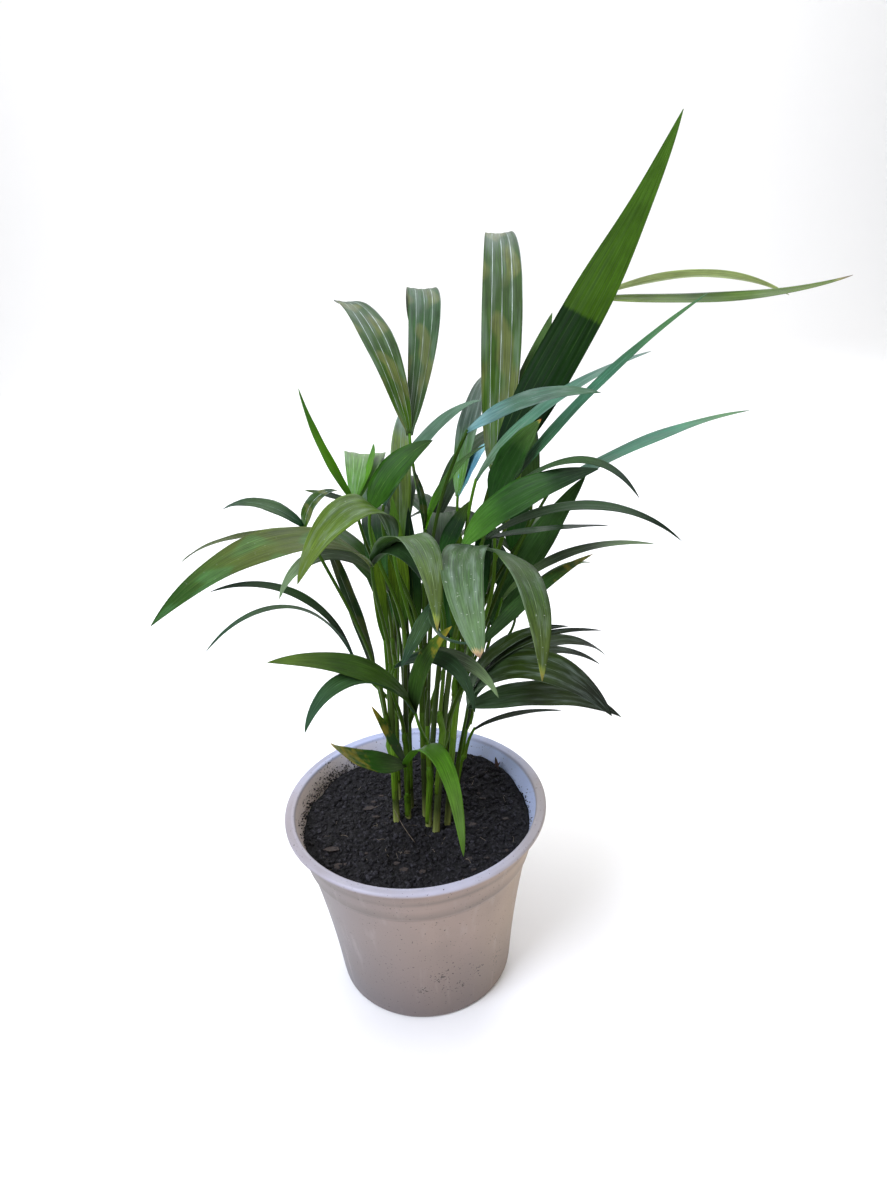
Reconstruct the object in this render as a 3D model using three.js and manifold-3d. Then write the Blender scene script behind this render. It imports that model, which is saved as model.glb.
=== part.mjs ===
import * as THREE from "three";
import { mergeVertices } from "three/addons/utils/BufferGeometryUtils.js";
import Module from "manifold-3d";

// A young areca palm in a plastic nursery pot: a clump of slender canes that stand in the
// soil, and on each cane a few stalked leaves, most of them split into two long lobes.
// Millimetres, +Z up. The origin is the centre of the pot's flat underside, +X runs to the
// right and +Y runs away from the side that faces the viewer.

// Pot
const potHeight = 140;
const rimRadius = 90;
const rimWidth = 6.5;
const rimThickness = 3.2;
const footRadius = 62;
const shoulderRadius = 77.1;
const shoulderHeight = 107;
const bandStep = 1.6;
const bandBevel = 1.5;
const footRounding = 3;
const rimRounding = 1;
const wallThickness = 1.8;
const floorThickness = 3;
const potHeights = [12, 60, shoulderHeight];
const potSides = 32;

// Soil
const soilHeight = 124;
const soilCrown = 1.5;
const soilBrow = 40;
const soilClearance = 0.6;
const seatGap = 0.3;

// Canes: a cane bends at a share of its length, and stands more upright below the bend
const caneSides = 6;
const caneSteps = 3;
const caneBendShare = 0.4;
const caneUpright = 0.15;

// Stalks: radii, and how much of the reach each end keeps its own direction
const stalkSides = 4;
const stalkSteps = 4;
const stalkFoot = 1.4;
const stalkTip = 0.95;
const stalkRise = 0.4;
const stalkSpread = 0.3;

// Blades: rib thickness, least half widths as shares, and how deep the fold is
const bladeSides = 4;
const ribFoot = 1.8;
const ribTip = 0.5;
const bladeFoot = 0.2;
const bladePoint = 0.02;
const bladePeak = 0.75;
const bladeFullness = 0.8;
const keel = 0.12;
const fewestBladeSteps = 3;
const mostBladeSteps = 7;
const bladeStepLength = 40;
const finePerStep = 3;

// Each cane rises from its place in the soil to its top, tapering from one radius to the other.
const canes = [
  { foot: [-14, -3], top: [-9, -6, 244], radius: [2.3, 1.6] },
  { foot: [-6, 0], top: [1, 4, 258], radius: [2.1, 1.5] },
  { foot: [-4, 9], top: [2, 19, 256], radius: [2.0, 1.5] },
  { foot: [6, 2], top: [11, 4, 256], radius: [2.0, 1.5] },
  { foot: [8, -10], top: [24, -9, 264], radius: [2.2, 1.6] },
  { foot: [13, -16], top: [31, -20, 268], radius: [2.4, 1.7] },
  { foot: [21, -9], top: [39, 0, 263], radius: [2.2, 1.6] },
  { foot: [14, 22], top: [53, 24, 265], radius: [2.2, 1.6] },
  { foot: [26, 4], top: [31, 3, 168], radius: [2.0, 1.6] },
  { foot: [7, 33], top: [19, 50, 268], radius: [2.1, 1.5] },
  { foot: [14, 34], top: [63, 52, 295], radius: [2.1, 1.5] },
  { foot: [-13, 22], top: [-6, 46, 270], radius: [1.6, 1.4] },
  { foot: [28, 14], top: [45, 15, 222], radius: [1.4, 1.2] },
];

// Three outlines fuller than most: a strap is widest past its middle and ends nearly square, a
// blunt blade keeps its width from end to end, and a tongue is wide from its foot on.
const strap = { peak: 1.2, full: 0.5 };
const blunt = { peak: 0.8, full: 0.5 };
const tongue = { peak: 0.55, full: 0.6 };

// A frond leaves its cane at a height, or at the cane's top where none is given, and may lean
// closer to it where flat sides face each other. Its lobes spread from its heart. A lobe sets
// out at a turn from +X and a rise from level, droops and bends by so many degrees on the way to
// its tip, and is rolled about its own rib.
const fronds = [
  { name: "tall", cane: 8, heart: [63, 25, 364], lobes: [
    { turn: 24, rise: 56, droop: -14, bend: -34, long: 222, wide: 34, roll: -30, bow: 2.2 },
    { turn: 76, rise: 59, droop: 103, bend: 17, long: 264, wide: 26, roll: -2, bow: 2.2, ...blunt },
    { turn: 57, rise: 45, droop: -3, long: 116, wide: 17, roll: -25 },
  ] },
  { name: "striped", cane: 8, at: 235, closer: 0.8, heart: [40, 56, 340], lobes: [
    { turn: 64, rise: 65, droop: 82, bend: 14, long: 128, wide: 23, roll: 35 },
    { turn: 19, rise: 68, droop: 34, bend: 3, long: 43, wide: 14, roll: -5 },
  ] },
  { name: "ribbon", cane: 7, at: 225, heart: [50, 5, 367], lobes: [
    { turn: 12, rise: 55, droop: 43, long: 129, wide: 14, roll: -5, bow: 0.8 },
  ] },
  { name: "olive", cane: 4, at: 230, heart: [45, -19, 403], lobes: [
    { turn: -13, rise: 34, droop: 42, bend: -3, long: 77, wide: 13, roll: -30 },
  ] },
  { name: "swift", cane: 7, heart: [58, -15, 358], lobes: [
    { turn: 10, rise: 68, droop: 24, bend: 2, long: 56, wide: 27, roll: -15 },
    { turn: 2, rise: 51, droop: 18, bend: -2, long: 161, wide: 12, roll: -10 },
    { turn: -42, rise: 43, droop: 63, bend: -38, long: 140, wide: 6, roll: -30 },
  ] },
  { name: "far", cane: 11, heart: [124, 56, 460], lobes: [
    { turn: -2, rise: -4, droop: -20, bend: -3, long: 154, wide: 12, roll: -20, bow: 2.2 },
    { turn: 3, rise: 16, droop: 45, bend: 3, long: 128, wide: 10, roll: 35 },
  ] },
  { name: "sky", cane: 8, at: 258, heart: [99, 40, 347], lobes: [
    { turn: 17, rise: 20, droop: 21, bend: 7, long: 155, wide: 19, roll: 5 },
  ] },
  { name: "broad", cane: 7, at: 250, heart: [39, -42, 344], lobes: [
    { turn: -19, rise: 59, droop: 49, bend: 14, long: 89, wide: 22, roll: -35, bow: 0.8 },
  ] },
  { name: "shade", cane: 13, heart: [57, 35, 256], lobes: [
    { turn: 14, rise: 57, droop: 6, bend: -1, long: 117, wide: 26, roll: -20 },
  ] },
  { name: "reach", cane: 8, at: 236, closer: 0.7, heart: [54, 3, 331], lobes: [
    { turn: -9, rise: 32, droop: 75, bend: -9, long: 125, wide: 10, roll: -15 },
    { turn: 30, rise: -6, droop: 7, long: 100, wide: 10 },
  ] },
  { name: "thin", cane: 13, at: 190, heart: [65, 22, 280], lobes: [
    { turn: 3, rise: 54, droop: 63, bend: -7, long: 108, wide: 10, roll: -10, bow: 0.8 },
  ] },
  { name: "slip", cane: 6, at: 200, heart: [49, -2, 260], lobes: [
    { turn: 23, rise: 40, droop: 32, bend: 5, long: 97, wide: 11, roll: -20 },
  ] },
  { name: "drape", cane: 6, heart: [49.5, -55, 349], lobes: [
    { turn: -110, rise: 25, droop: 60, bend: 32, long: 129, wide: 21, ...blunt },
    { turn: -65, rise: 14, droop: 53, bend: -33, long: 123, wide: 19, roll: 25 },
  ] },
  { name: "wing", cane: 1, heart: [-12, -39, 335], lobes: [
    { turn: 229, rise: 57, droop: 92, bend: -13, long: 146, wide: 25, roll: 15, bow: 0.8 },
    { turn: -53, rise: 46, droop: 94, bend: -38, long: 137, wide: 19, roll: 7 },
    { turn: -59, rise: 47, droop: 95, bend: -5, long: 79, wide: 10, roll: -25 },
  ] },
  { name: "hook", cane: 4, at: 235, heart: [0, -25, 341], lobes: [
    { turn: 250, rise: 90, droop: 147, bend: -20, long: 113, wide: 21, roll: 22, bow: 0.8 },
  ] },
  { name: "reed", cane: 1, at: 200, heart: [-50, -18, 352], lobes: [
    { turn: 174, rise: 44, droop: 75, bend: -5, long: 53, wide: 12, roll: 10 },
    { turn: 189, rise: -2, droop: 41, bend: -30, long: 82, wide: 9, bow: 2.2 },
    { turn: 32, rise: 78, droop: 93, bend: -13, long: 32, wide: 13, roll: -5 },
  ] },
  { name: "spear", cane: 12, at: 235, heart: [-23, 10, 355], lobes: [
    { turn: 174, rise: 62, droop: -19, bend: 8, long: 75, wide: 9, roll: 20 },
    { turn: 81, rise: 26, droop: 112, bend: 25, long: 144, wide: 28, roll: -5, ...strap },
    { turn: 68, rise: 25, droop: 15, bend: 24, long: 63, wide: 9, roll: 40 },
    { turn: 205, rise: 30, droop: 11, bend: 1, long: 33, wide: 8, roll: 15 },
  ] },
  { name: "bright", cane: 2, heart: [-12, -15, 359], lobes: [
    { turn: 11, rise: 62, droop: 45, bend: 3, long: 55, wide: 19, roll: -35 },
  ] },
  { name: "grey", cane: 4, heart: [-5, -4, 357], lobes: [
    { turn: 29, rise: 56, droop: 68, bend: 23, long: 105, wide: 11, roll: -5 },
  ] },
  { name: "twin", cane: 10, heart: [12, 32, 389], lobes: [
    { turn: 117, rise: 64, droop: 79, bend: -5, long: 140, wide: 24, roll: -10, ...strap },
    { turn: 73, rise: 43, droop: 106, bend: 32, long: 219, wide: 22, roll: -5, bow: 2.2, ...strap },
  ] },
  { name: "strap", cane: 3, heart: [1, 25, 310], lobes: [
    { turn: 88, rise: 48, droop: 58, long: 160, wide: 16, roll: -30 },
    { turn: 81, rise: 45, droop: 90, bend: 9, long: 122, wide: 12, ...strap },
  ] },
  { name: "inner", cane: 4, at: 215, heart: [18, 10, 336], lobes: [
    { turn: 121, rise: 91, droop: 38, bend: 3, long: 40, wide: 9, roll: -30 },
    { turn: 24, rise: 68, droop: 58, bend: 8, long: 67, wide: 10, roll: 5 },
  ] },
  { name: "knot", cane: 5, heart: [27, -2, 323], lobes: [
    { turn: 88, rise: 30, droop: 119, bend: 1, long: 101, wide: 20, ...blunt },
    { turn: 21, rise: 58, droop: 7, bend: 13, long: 37, wide: 12, roll: -25 },
  ] },
  { name: "lowleft", cane: 5, at: 170, heart: [7, -54, 246], lobes: [
    { turn: 207, rise: 75, droop: 79, bend: -26, long: 101, wide: 20, roll: 15, bow: 0.8 },
    { turn: 197, rise: 67, droop: 125, bend: 42, long: 98, wide: 14, roll: 15 },
    { turn: -15, rise: 95, droop: 50, long: 66, wide: 12, roll: -60, bow: 0.8 },
  ] },
  { name: "foot", cane: 2, at: 145, heart: [-3, -20, 185], lobes: [
    { turn: 200, rise: 18, droop: -43, bend: 19, long: 63, wide: 20, roll: 15 },
    { turn: 168, rise: 66, droop: 4, bend: -9, long: 47, wide: 9, roll: 10 },
    { turn: -58, rise: 55, droop: 113, bend: -29, long: 139, wide: 13, roll: -5, ...tongue },
  ] },
  { name: "teal", cane: 6, at: 215, heart: [24, -28, 307], lobes: [
    { turn: 247, rise: -15, droop: 15, bend: -7, long: 54, wide: 11, roll: -5 },
    { turn: -108, rise: -4, droop: -25, bend: 60, long: 79, wide: 8, roll: 50 },
  ] },
  { name: "curl", cane: 2, at: 190, heart: [-5.5, -20, 258], lobes: [
    { turn: -17, rise: 35, droop: 99, bend: -20, long: 80, wide: 12, roll: -20 },
    { turn: -27, rise: 36, droop: 76, bend: -56, long: 92, wide: 11, roll: -20 },
  ] },
  { name: "sweep", cane: 3, at: 185, heart: [-32, 0, 256], lobes: [
    { turn: 198, rise: 73, droop: 86, bend: 1, long: 113, wide: 8, roll: 25 },
    { turn: 227, rise: 68, droop: 104, bend: -1, long: 132, wide: 6, roll: 10 },
  ] },
  { name: "lean", cane: 1, at: 185, heart: [-20, 1, 246], lobes: [
    { turn: 156, rise: 76, droop: 7, bend: -3, long: 95, wide: 13, ...blunt },
  ] },
  { name: "arch", cane: 3, at: 215, heart: [-7, 14, 293], lobes: [
    { turn: 194, rise: 66, droop: 127, bend: 38, long: 98, wide: 12, roll: 30 },
  ] },
  { name: "pinnate", cane: 9, heart: [39, -8, 219], lobes: [
    { turn: 4, rise: 93, droop: 92, bend: -14, long: 95, wide: 14, roll: -10, bow: 0.8 },
    { turn: -7, rise: 84, droop: 91, bend: 1, long: 111, wide: 9, roll: -10, bow: 0.8 },
    { turn: 13, rise: 77, droop: 126, bend: 14, long: 125, wide: 14, roll: -15, bow: 0.8 },
    { turn: 4, rise: 60, droop: 97, bend: -17, long: 102, wide: 12, roll: -5 },
    { turn: -25, rise: 81, droop: 116, bend: -26, long: 127, wide: 27, roll: -20, bow: 0.8 },
    { turn: -4, rise: 18, droop: 58, bend: 1, long: 104, wide: 22, roll: -15 },
  ] },
  { name: "wisp", cane: 13, at: 165, heart: [43, 9, 190], lobes: [
    { turn: 4, rise: 30, droop: 40, long: 62, wide: 6, bow: 0.8 },
  ] },
  { name: "rear_high", cane: 12, heart: [24, 80, 313.5], lobes: [
    { turn: 108, rise: 16, droop: 118, bend: 3, long: 150, wide: 24, roll: -10 },
    { turn: 48, rise: 56, droop: 107, long: 145, wide: 25, roll: 10 },
  ] },
  { name: "rear_left", cane: 12, at: 205, heart: [-15, 63, 271], lobes: [
    { turn: 94, rise: 46, droop: 97, long: 135, wide: 22 },
    { turn: 128, rise: 40, droop: 100, long: 140, wide: 23, roll: -10 },
  ] },
  { name: "rear_right", cane: 11, at: 235, heart: [78, 76, 289], lobes: [
    { turn: 80, rise: 68, droop: 120, long: 145, wide: 24 },
    { turn: 152, rise: 44, droop: 115, long: 120, wide: 19, roll: -5 },
  ] },
  { name: "rear_fan", cane: 11, at: 265, heart: [89, 62, 330], lobes: [
    { turn: 100, rise: 66, droop: 116, long: 140, wide: 22 },
    { turn: 88, rise: 50, droop: 60, long: 113, wide: 16 },
  ] },
  { name: "rear_low", cane: 10, at: 180, heart: [31, 73, 226], lobes: [
    { turn: 48, rise: 50, droop: 104, long: 120, wide: 20 },
    { turn: 88, rise: 52, droop: 112, long: 125, wide: 20 },
    { turn: 130, rise: 48, droop: 104, long: 110, wide: 18 },
  ] },
  { name: "rear_drop", cane: 12, at: 180, heart: [-7, 64, 240], lobes: [
    { turn: 86, rise: 56, droop: 110, long: 120, wide: 18 },
    { turn: 110, rise: 50, droop: 100, long: 120, wide: 20 },
  ] },
  { name: "rear_side", cane: 11, at: 190, heart: [77, 62, 246], lobes: [
    { turn: 68, rise: 58, droop: 96, long: 125, wide: 21 },
    { turn: 110, rise: 60, droop: 107, long: 118, wide: 19, roll: -5 },
    { turn: 38, rise: 38, droop: 64, bend: 3, long: 87, wide: 12 },
  ] },
  { name: "young_a", cane: 2, at: 200, heart: [0, 12, 268], lobes: [
    { turn: 95, rise: 86, droop: 6, long: 87, wide: 13 },
  ] },
  { name: "young_b", cane: 3, at: 200, heart: [8, 14, 262], lobes: [
    { turn: 87, rise: 86, droop: 5, long: 85, wide: 11 },
  ] },
  { name: "young_c", cane: 1, at: 200, heart: [-11.5, 0, 266], lobes: [
    { turn: 105, rise: 84, droop: 6, long: 75, wide: 9, roll: -10 },
  ] },
  { name: "young_d", cane: 7, at: 200, heart: [35.5, 4, 262], lobes: [
    { turn: 78, rise: 83, droop: 8, long: 82, wide: 12 },
  ] },
  { name: "young_e", cane: 8, at: 200, heart: [50, 30, 268], lobes: [
    { turn: 60, rise: 78, droop: 10, long: 90, wide: 13 },
  ] },
];

const wasm = await Module();
wasm.setup();

// The solid inside a closed geometry.
function solidOf(geometry) {
  const bare = new THREE.BufferGeometry();
  bare.setAttribute("position", geometry.getAttribute("position"));
  bare.setIndex(geometry.index);
  const merged = mergeVertices(bare, 1e-4);
  return new wasm.Manifold(
    new wasm.Mesh({
      numProp: 3,
      vertProperties: merged.getAttribute("position").array,
      triVerts: Uint32Array.from(merged.index.array),
    }),
  );
}

// The geometry of a solid that was joined from several.
function geometryOf(solid) {
  const mesh = solid.getMesh();
  const geometry = new THREE.BufferGeometry();
  geometry.setAttribute("position", new THREE.BufferAttribute(mesh.vertProperties, 3));
  geometry.setIndex(new THREE.BufferAttribute(mesh.triVerts, 1));
  geometry.computeVertexNormals();
  return geometry;
}

// A closed cylinder bent along a row of frames. Its section at each height is so wide and so
// thick, and its edges stand above its middle by the fold.
function bentLimb({ frames, sides, width, thickness, fold = 0 }) {
  const steps = frames.length - 1;
  const limb = new THREE.CylinderGeometry(1, 1, 1, sides, steps);
  const place = limb.getAttribute("position");
  for (let i = 0; i < place.count; i += 1) {
    const along = place.getY(i) + 0.5;
    const { point, side, up } = frames[Math.round(along * steps)];
    const across = place.getX(i) * width(along);
    const above = place.getZ(i) * thickness(along) + Math.abs(across) * fold;
    const moved = point.clone().addScaledVector(side, across).addScaledVector(up, above);
    place.setXYZ(i, moved.x, moved.y, moved.z);
  }
  return limb;
}

// The frames of a round limb, carried along its curve without twisting.
function curveFrames(curve, steps) {
  const { normals, binormals } = curve.computeFrenetFrames(steps);
  return normals.map((up, i) => ({
    point: curve.getPointAt(i / steps),
    side: binormals[i],
    up,
  }));
}

// Which way a lobe runs at a share of its length.
function lobeDirection({ turn, rise, droop, bend = 0, bow = 1.4 }, share) {
  const heading = THREE.MathUtils.degToRad(turn + bend * share);
  const pitch = THREE.MathUtils.degToRad(rise - droop * share ** bow);
  return {
    heading,
    forward: new THREE.Vector3(
      Math.cos(pitch) * Math.cos(heading),
      Math.cos(pitch) * Math.sin(heading),
      Math.sin(pitch),
    ),
  };
}

// The frames of a lobe's rib, from the heart of its frond to its tip.
function lobeFrames(heart, lobe) {
  const wanted = fewestBladeSteps + Math.floor(lobe.long / bladeStepLength);
  const steps = Math.min(mostBladeSteps, wanted);
  const fine = steps * finePerStep;
  const point = heart.clone();
  const roll = THREE.MathUtils.degToRad(lobe.roll ?? 0);
  return Array.from({ length: steps + 1 }, (_, station) => {
    for (let j = 0; station > 0 && j < finePerStep; j += 1) {
      const share = ((station - 1) * finePerStep + j + 0.5) / fine;
      point.addScaledVector(lobeDirection(lobe, share).forward, lobe.long / fine);
    }
    const { heading, forward } = lobeDirection(lobe, station / steps);
    const side = new THREE.Vector3(Math.sin(heading), -Math.cos(heading), 0);
    const up = side.clone().cross(forward);
    side.applyAxisAngle(forward, -roll);
    up.applyAxisAngle(forward, -roll);
    return { point: point.clone(), side, up };
  });
}

// A blade is narrow at its foot, widest at two fifths of its length and pointed at its tip,
// unless its lobe has a peak and a fullness of its own.
function bladeOutline(share, { peak = bladePeak, full = bladeFullness }) {
  const body = Math.sin(Math.PI * share ** peak) ** full;
  return Math.max(body, bladeFoot * (1 - share), bladePoint);
}

function makeLobe(heart, lobe) {
  return bentLimb({
    frames: lobeFrames(heart, lobe),
    sides: bladeSides,
    width: (share) => (lobe.wide / 2) * bladeOutline(share, lobe),
    thickness: (share) => THREE.MathUtils.lerp(ribFoot, ribTip, share) / 2,
    fold: keel,
  });
}

// The line of a cane stands nearly upright at its foot and leans out towards its top.
function caneLine({ foot, top }) {
  const start = new THREE.Vector3(foot[0], foot[1], soilTop(Math.hypot(...foot)) + seatGap);
  const end = new THREE.Vector3(...top);
  const middle = start.clone().lerp(end, caneBendShare);
  middle.z += caneUpright * (end.z - start.z);
  return new THREE.QuadraticBezierCurve3(start, middle, end);
}

function makeCane(cane) {
  const [thick, slim] = cane.radius;
  const radius = (share) => THREE.MathUtils.lerp(thick, slim, share);
  const frames = curveFrames(caneLine(cane), caneSteps);
  frames[0].side.setZ(0).normalize();
  frames[0].up = new THREE.Vector3(0, 0, -1).cross(frames[0].side);
  return bentLimb({
    frames,
    sides: caneSides,
    width: radius,
    thickness: radius,
  });
}

// A stalk stands on its cane's top, or close beside the cane at its own height, and reaches
// the heart of the frond in the middle of the way that the lobes set out.
function stalkLine(frond) {
  const cane = canes[frond.cane - 1];
  const line = caneLine(cane);
  const heart = new THREE.Vector3(...frond.heart);
  const spread = new THREE.Vector3();
  frond.lobes.forEach((lobe) => spread.add(lobeDirection(lobe, 0).forward));
  spread.z += frond.lobes.length;
  spread.normalize();
  const share = frond.at ? heightShare(line, frond.at) : 1;
  const start = line.getPointAt(share);
  const upward = line.getTangentAt(share);
  if (frond.at) {
    const outward = heart.clone().sub(start).projectOnPlane(upward).normalize();
    const beside = THREE.MathUtils.lerp(...cane.radius, share) + stalkFoot + seatGap;
    start.addScaledVector(outward, beside - (frond.closer ?? 0));
  } else {
    start.addScaledVector(upward, seatGap);
  }
  const reach = start.distanceTo(heart);
  return new THREE.CubicBezierCurve3(
    start,
    start.clone().addScaledVector(upward, reach * stalkRise),
    heart.clone().addScaledVector(spread, -reach * stalkSpread),
    heart.clone().addScaledVector(spread, stalkTip),
  );
}

// How far along a rising line a height is reached.
function heightShare(line, height) {
  let share = 0;
  while (share < 1 && line.getPointAt(share).z < height) share += 0.01;
  return Math.min(share, 1);
}

function makeFrond(frond) {
  const heart = new THREE.Vector3(...frond.heart);
  const radius = (share) => THREE.MathUtils.lerp(stalkFoot, stalkTip, share);
  const stalk = bentLimb({
    frames: curveFrames(stalkLine(frond), stalkSteps),
    sides: stalkSides,
    width: radius,
    thickness: radius,
  });
  const lobes = frond.lobes.map((lobe) => solidOf(makeLobe(heart, lobe)));
  return geometryOf(lobes.reduce((whole, lobe) => whole.add(lobe), solidOf(stalk)));
}

// The outside radius of the pot's wall, which widens faster towards the shoulder.
function wallRadius(height) {
  const share = height / shoulderHeight;
  return footRadius + (shoulderRadius - footRadius) * share * (0.55 + 0.45 * share);
}

// The soil is a little higher in the middle than at the wall.
function soilTop(radius) {
  return soilHeight + soilCrown * (1 - (radius / wallRadius(soilHeight)) ** 2);
}

// A closed outline turned about the upright axis.
function turned(outline) {
  const points = outline.map(([radius, height]) => new THREE.Vector2(radius, height));
  return new THREE.LatheGeometry(points, potSides).rotateX(Math.PI / 2);
}

function makePot() {
  const flange = potHeight - rimThickness;
  const neck = flange - 2;
  const outside = potHeights.map((height) => [wallRadius(height), height]);
  const inside = potHeights.map((height) => [wallRadius(height) - wallThickness, height]);
  return turned([
    [0, 0],
    [footRadius - footRounding, 0],
    [footRadius - 0.2 * footRounding, 0.7 * footRounding],
    ...outside,
    [shoulderRadius + bandStep, shoulderHeight + bandBevel],
    [wallRadius(flange) + bandStep / 2, flange],
    [rimRadius - rimRounding, flange],
    [rimRadius, flange + rimRounding],
    [rimRadius - rimRounding, potHeight - rimRounding / 2],
    [rimRadius - 2.5 * rimRounding, potHeight],
    [rimRadius - rimWidth, potHeight - rimRounding / 2],
    [wallRadius(neck) - wallThickness / 2, neck],
    ...inside.reverse(),
    [footRadius - wallThickness - rimRounding, floorThickness],
    [0, floorThickness],
  ]);
}

// The soil fills the pot to its own height, just clear of the wall and the floor.
function makeSoil() {
  const inset = wallThickness + soilClearance;
  const bottom = floorThickness + seatGap;
  const side = [...potHeights, soilHeight].map((height) => [wallRadius(height) - inset, height]);
  return turned([
    [0, bottom],
    [footRadius - inset - footRounding / 2, bottom],
    ...side,
    [soilBrow, soilTop(soilBrow)],
    [0, soilTop(0)],
  ]);
}

const plant = new THREE.Group();

function addPiece(name, geometry, colour, roughness) {
  const material = new THREE.MeshStandardMaterial({ color: colour, roughness, metalness: 0 });
  const mesh = new THREE.Mesh(geometry, material);
  mesh.name = name;
  plant.add(mesh);
}

addPiece("pot", makePot(), 0xb9b0ac, 0.45);
addPiece("soil", makeSoil(), 0x28262b, 0.95);
canes.forEach((cane, i) => {
  addPiece(`cane_${String(i + 1).padStart(2, "0")}`, makeCane(cane), 0x6f8a35, 0.55);
});
fronds.forEach((frond) => {
  addPiece(`frond_${frond.name}`, makeFrond(frond), 0x3c6b2e, 0.4);
});

export default plant;
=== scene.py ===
import math
import random

import bmesh
import bpy
import numpy as np
from mathutils import Matrix, Vector, noise


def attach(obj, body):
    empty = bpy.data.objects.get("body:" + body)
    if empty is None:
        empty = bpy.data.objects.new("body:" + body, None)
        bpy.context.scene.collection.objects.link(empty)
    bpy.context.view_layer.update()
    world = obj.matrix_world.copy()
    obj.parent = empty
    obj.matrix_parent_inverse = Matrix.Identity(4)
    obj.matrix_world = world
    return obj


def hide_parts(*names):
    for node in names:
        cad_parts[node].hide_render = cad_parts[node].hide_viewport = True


# A young areca palm in a grey-white nursery pot.
# Sizes and places are in millimetres and meet the frame's own: origin at the middle of the pot's underside.
# A pattern's scale, times its stretch, counts its clouds in a metre, so 22 draws clouds of 45 mm;
# on blades and stalks it counts them from rib to rib and from foot to tip.
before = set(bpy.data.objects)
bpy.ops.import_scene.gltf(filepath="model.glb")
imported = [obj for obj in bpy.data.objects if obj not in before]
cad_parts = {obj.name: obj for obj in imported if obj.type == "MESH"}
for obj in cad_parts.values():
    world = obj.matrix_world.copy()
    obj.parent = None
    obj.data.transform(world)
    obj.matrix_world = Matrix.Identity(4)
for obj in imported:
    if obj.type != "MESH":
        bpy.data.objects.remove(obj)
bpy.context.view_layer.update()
mm = 0.001
fullTurn = 2 * math.pi
anyTurn = 6.3  # random headings run up to here, in radians
print("frame loaded:", len(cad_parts), "nodes")


# Small helpers for colours, shader nodes, curves and meshes
def linear(hexColour):
    parts = [int(hexColour[i:i + 2], 16) / 255 for i in (1, 3, 5)]
    return [c / 12.92 if c <= 0.04045 else ((c + 0.055) / 1.055) ** 2.4 for c in parts] + [1.0]


def feed(tree, node, inputs):
    # inputs are named, or in the node's own order: a value, a hex colour or another node's output
    pairs = inputs.items() if isinstance(inputs, dict) else enumerate(inputs)
    for name, part in pairs:
        if isinstance(part, bpy.types.NodeSocket):
            tree.links.new(part, node.inputs[name])
        else:
            node.inputs[name].default_value = linear(part) if isinstance(part, str) else part


def addNode(tree, kind, inputs=(), out=0, stops=(), **settings):
    node = tree.nodes.new("ShaderNode" + kind)
    for name, value in settings.items():
        setattr(node, name, value)
    feed(tree, node, inputs)
    if stops:
        ramp = node.color_ramp
        while len(ramp.elements) < len(stops):
            ramp.elements.new(1.0)
        for element, (position, colour) in zip(ramp.elements, stops):
            element.position = position
            element.color = linear(colour)
    return node.outputs[out]


def newMaterial(name):
    material = bpy.data.materials.new(name)
    material.use_nodes = True
    tree = material.node_tree
    return material, tree, addNode(tree, "TexCoord", out="Object")


def finishMaterial(material, height, strength, distance, inputs):
    # the height shows as a relief; its depth is in millimetres
    tree = material.node_tree
    relief = addNode(tree, "Bump", {"Strength": strength, "Distance": distance * mm, "Height": height})
    feed(tree, tree.nodes["Principled BSDF"], {**inputs, "Normal": relief})
    return material


def unit(vectors):
    return vectors / np.maximum(np.linalg.norm(vectors, axis=-1, keepdims=True), 1e-9)


def evenly(points, count):
    steps = np.linalg.norm(np.diff(points, axis=0), axis=1)
    along = np.concatenate([[0], np.cumsum(steps)])
    wanted = np.linspace(0, along[-1], count)
    return np.stack([np.interp(wanted, along, points[:, k]) for k in range(3)], axis=1)


def bezier(controls, count):
    t = np.linspace(0, 1, 200)[:, None]
    level = [np.array(c, float) + 0 * t for c in controls]
    while len(level) > 1:
        level = [a + (b - a) * t for a, b in zip(level, level[1:])]
    return evenly(level[0], count)


def carriedFrames(points):
    forward = unit(np.gradient(points, axis=0))
    side = np.zeros_like(points)
    side[0] = unit(np.cross(forward[0], (0.0, 1.0, 0.0)))
    for i in range(1, len(points)):
        side[i] = unit(side[i - 1] - forward[i] * (side[i - 1] @ forward[i]))
    return side, np.cross(side, forward)


def place(name, data):
    thing = bpy.data.objects.new(name, data)
    bpy.context.scene.collection.objects.link(thing)
    return thing


def seatPiece(piece, slot, *nodes):
    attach(piece, "root")
    if nodes:
        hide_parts(*nodes)


def solidMesh(name, places, faces, materials, slots=None, smooth=False):
    mesh = bpy.data.meshes.new(name)
    mesh.from_pydata([(x * mm, y * mm, z * mm) for x, y, z in places], [], faces)
    for material in materials:
        mesh.materials.append(material)
    if slots:
        mesh.polygons.foreach_set("material_index", slots)
    mesh.polygons.foreach_set("use_smooth", [smooth] * len(faces))
    return place(name, mesh)


def turned(outline, angles):
    return [(out * math.cos(a), out * math.sin(a), height) for out, height in outline for a in angles]


def ringFaces(rings, sectors):
    # rings of corners laid one after another, closed by the two corners that follow them
    faces = []
    for i in range(rings - 1):
        for k in range(sectors):
            after = (k + 1) % sectors
            here, above = i * sectors, (i + 1) * sectors
            faces.append((here + k, here + after, above + after, above + k))
    last = (rings - 1) * sectors
    for k in range(sectors):
        after = (k + 1) % sectors
        faces.append((rings * sectors, after, k))
        faces.append((rings * sectors + 1, last + k, last + after))
    return faces


def newBag():
    return {"places": [], "faces": [], "slots": [], "maps": [], "tones": [], "count": 0}


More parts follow.
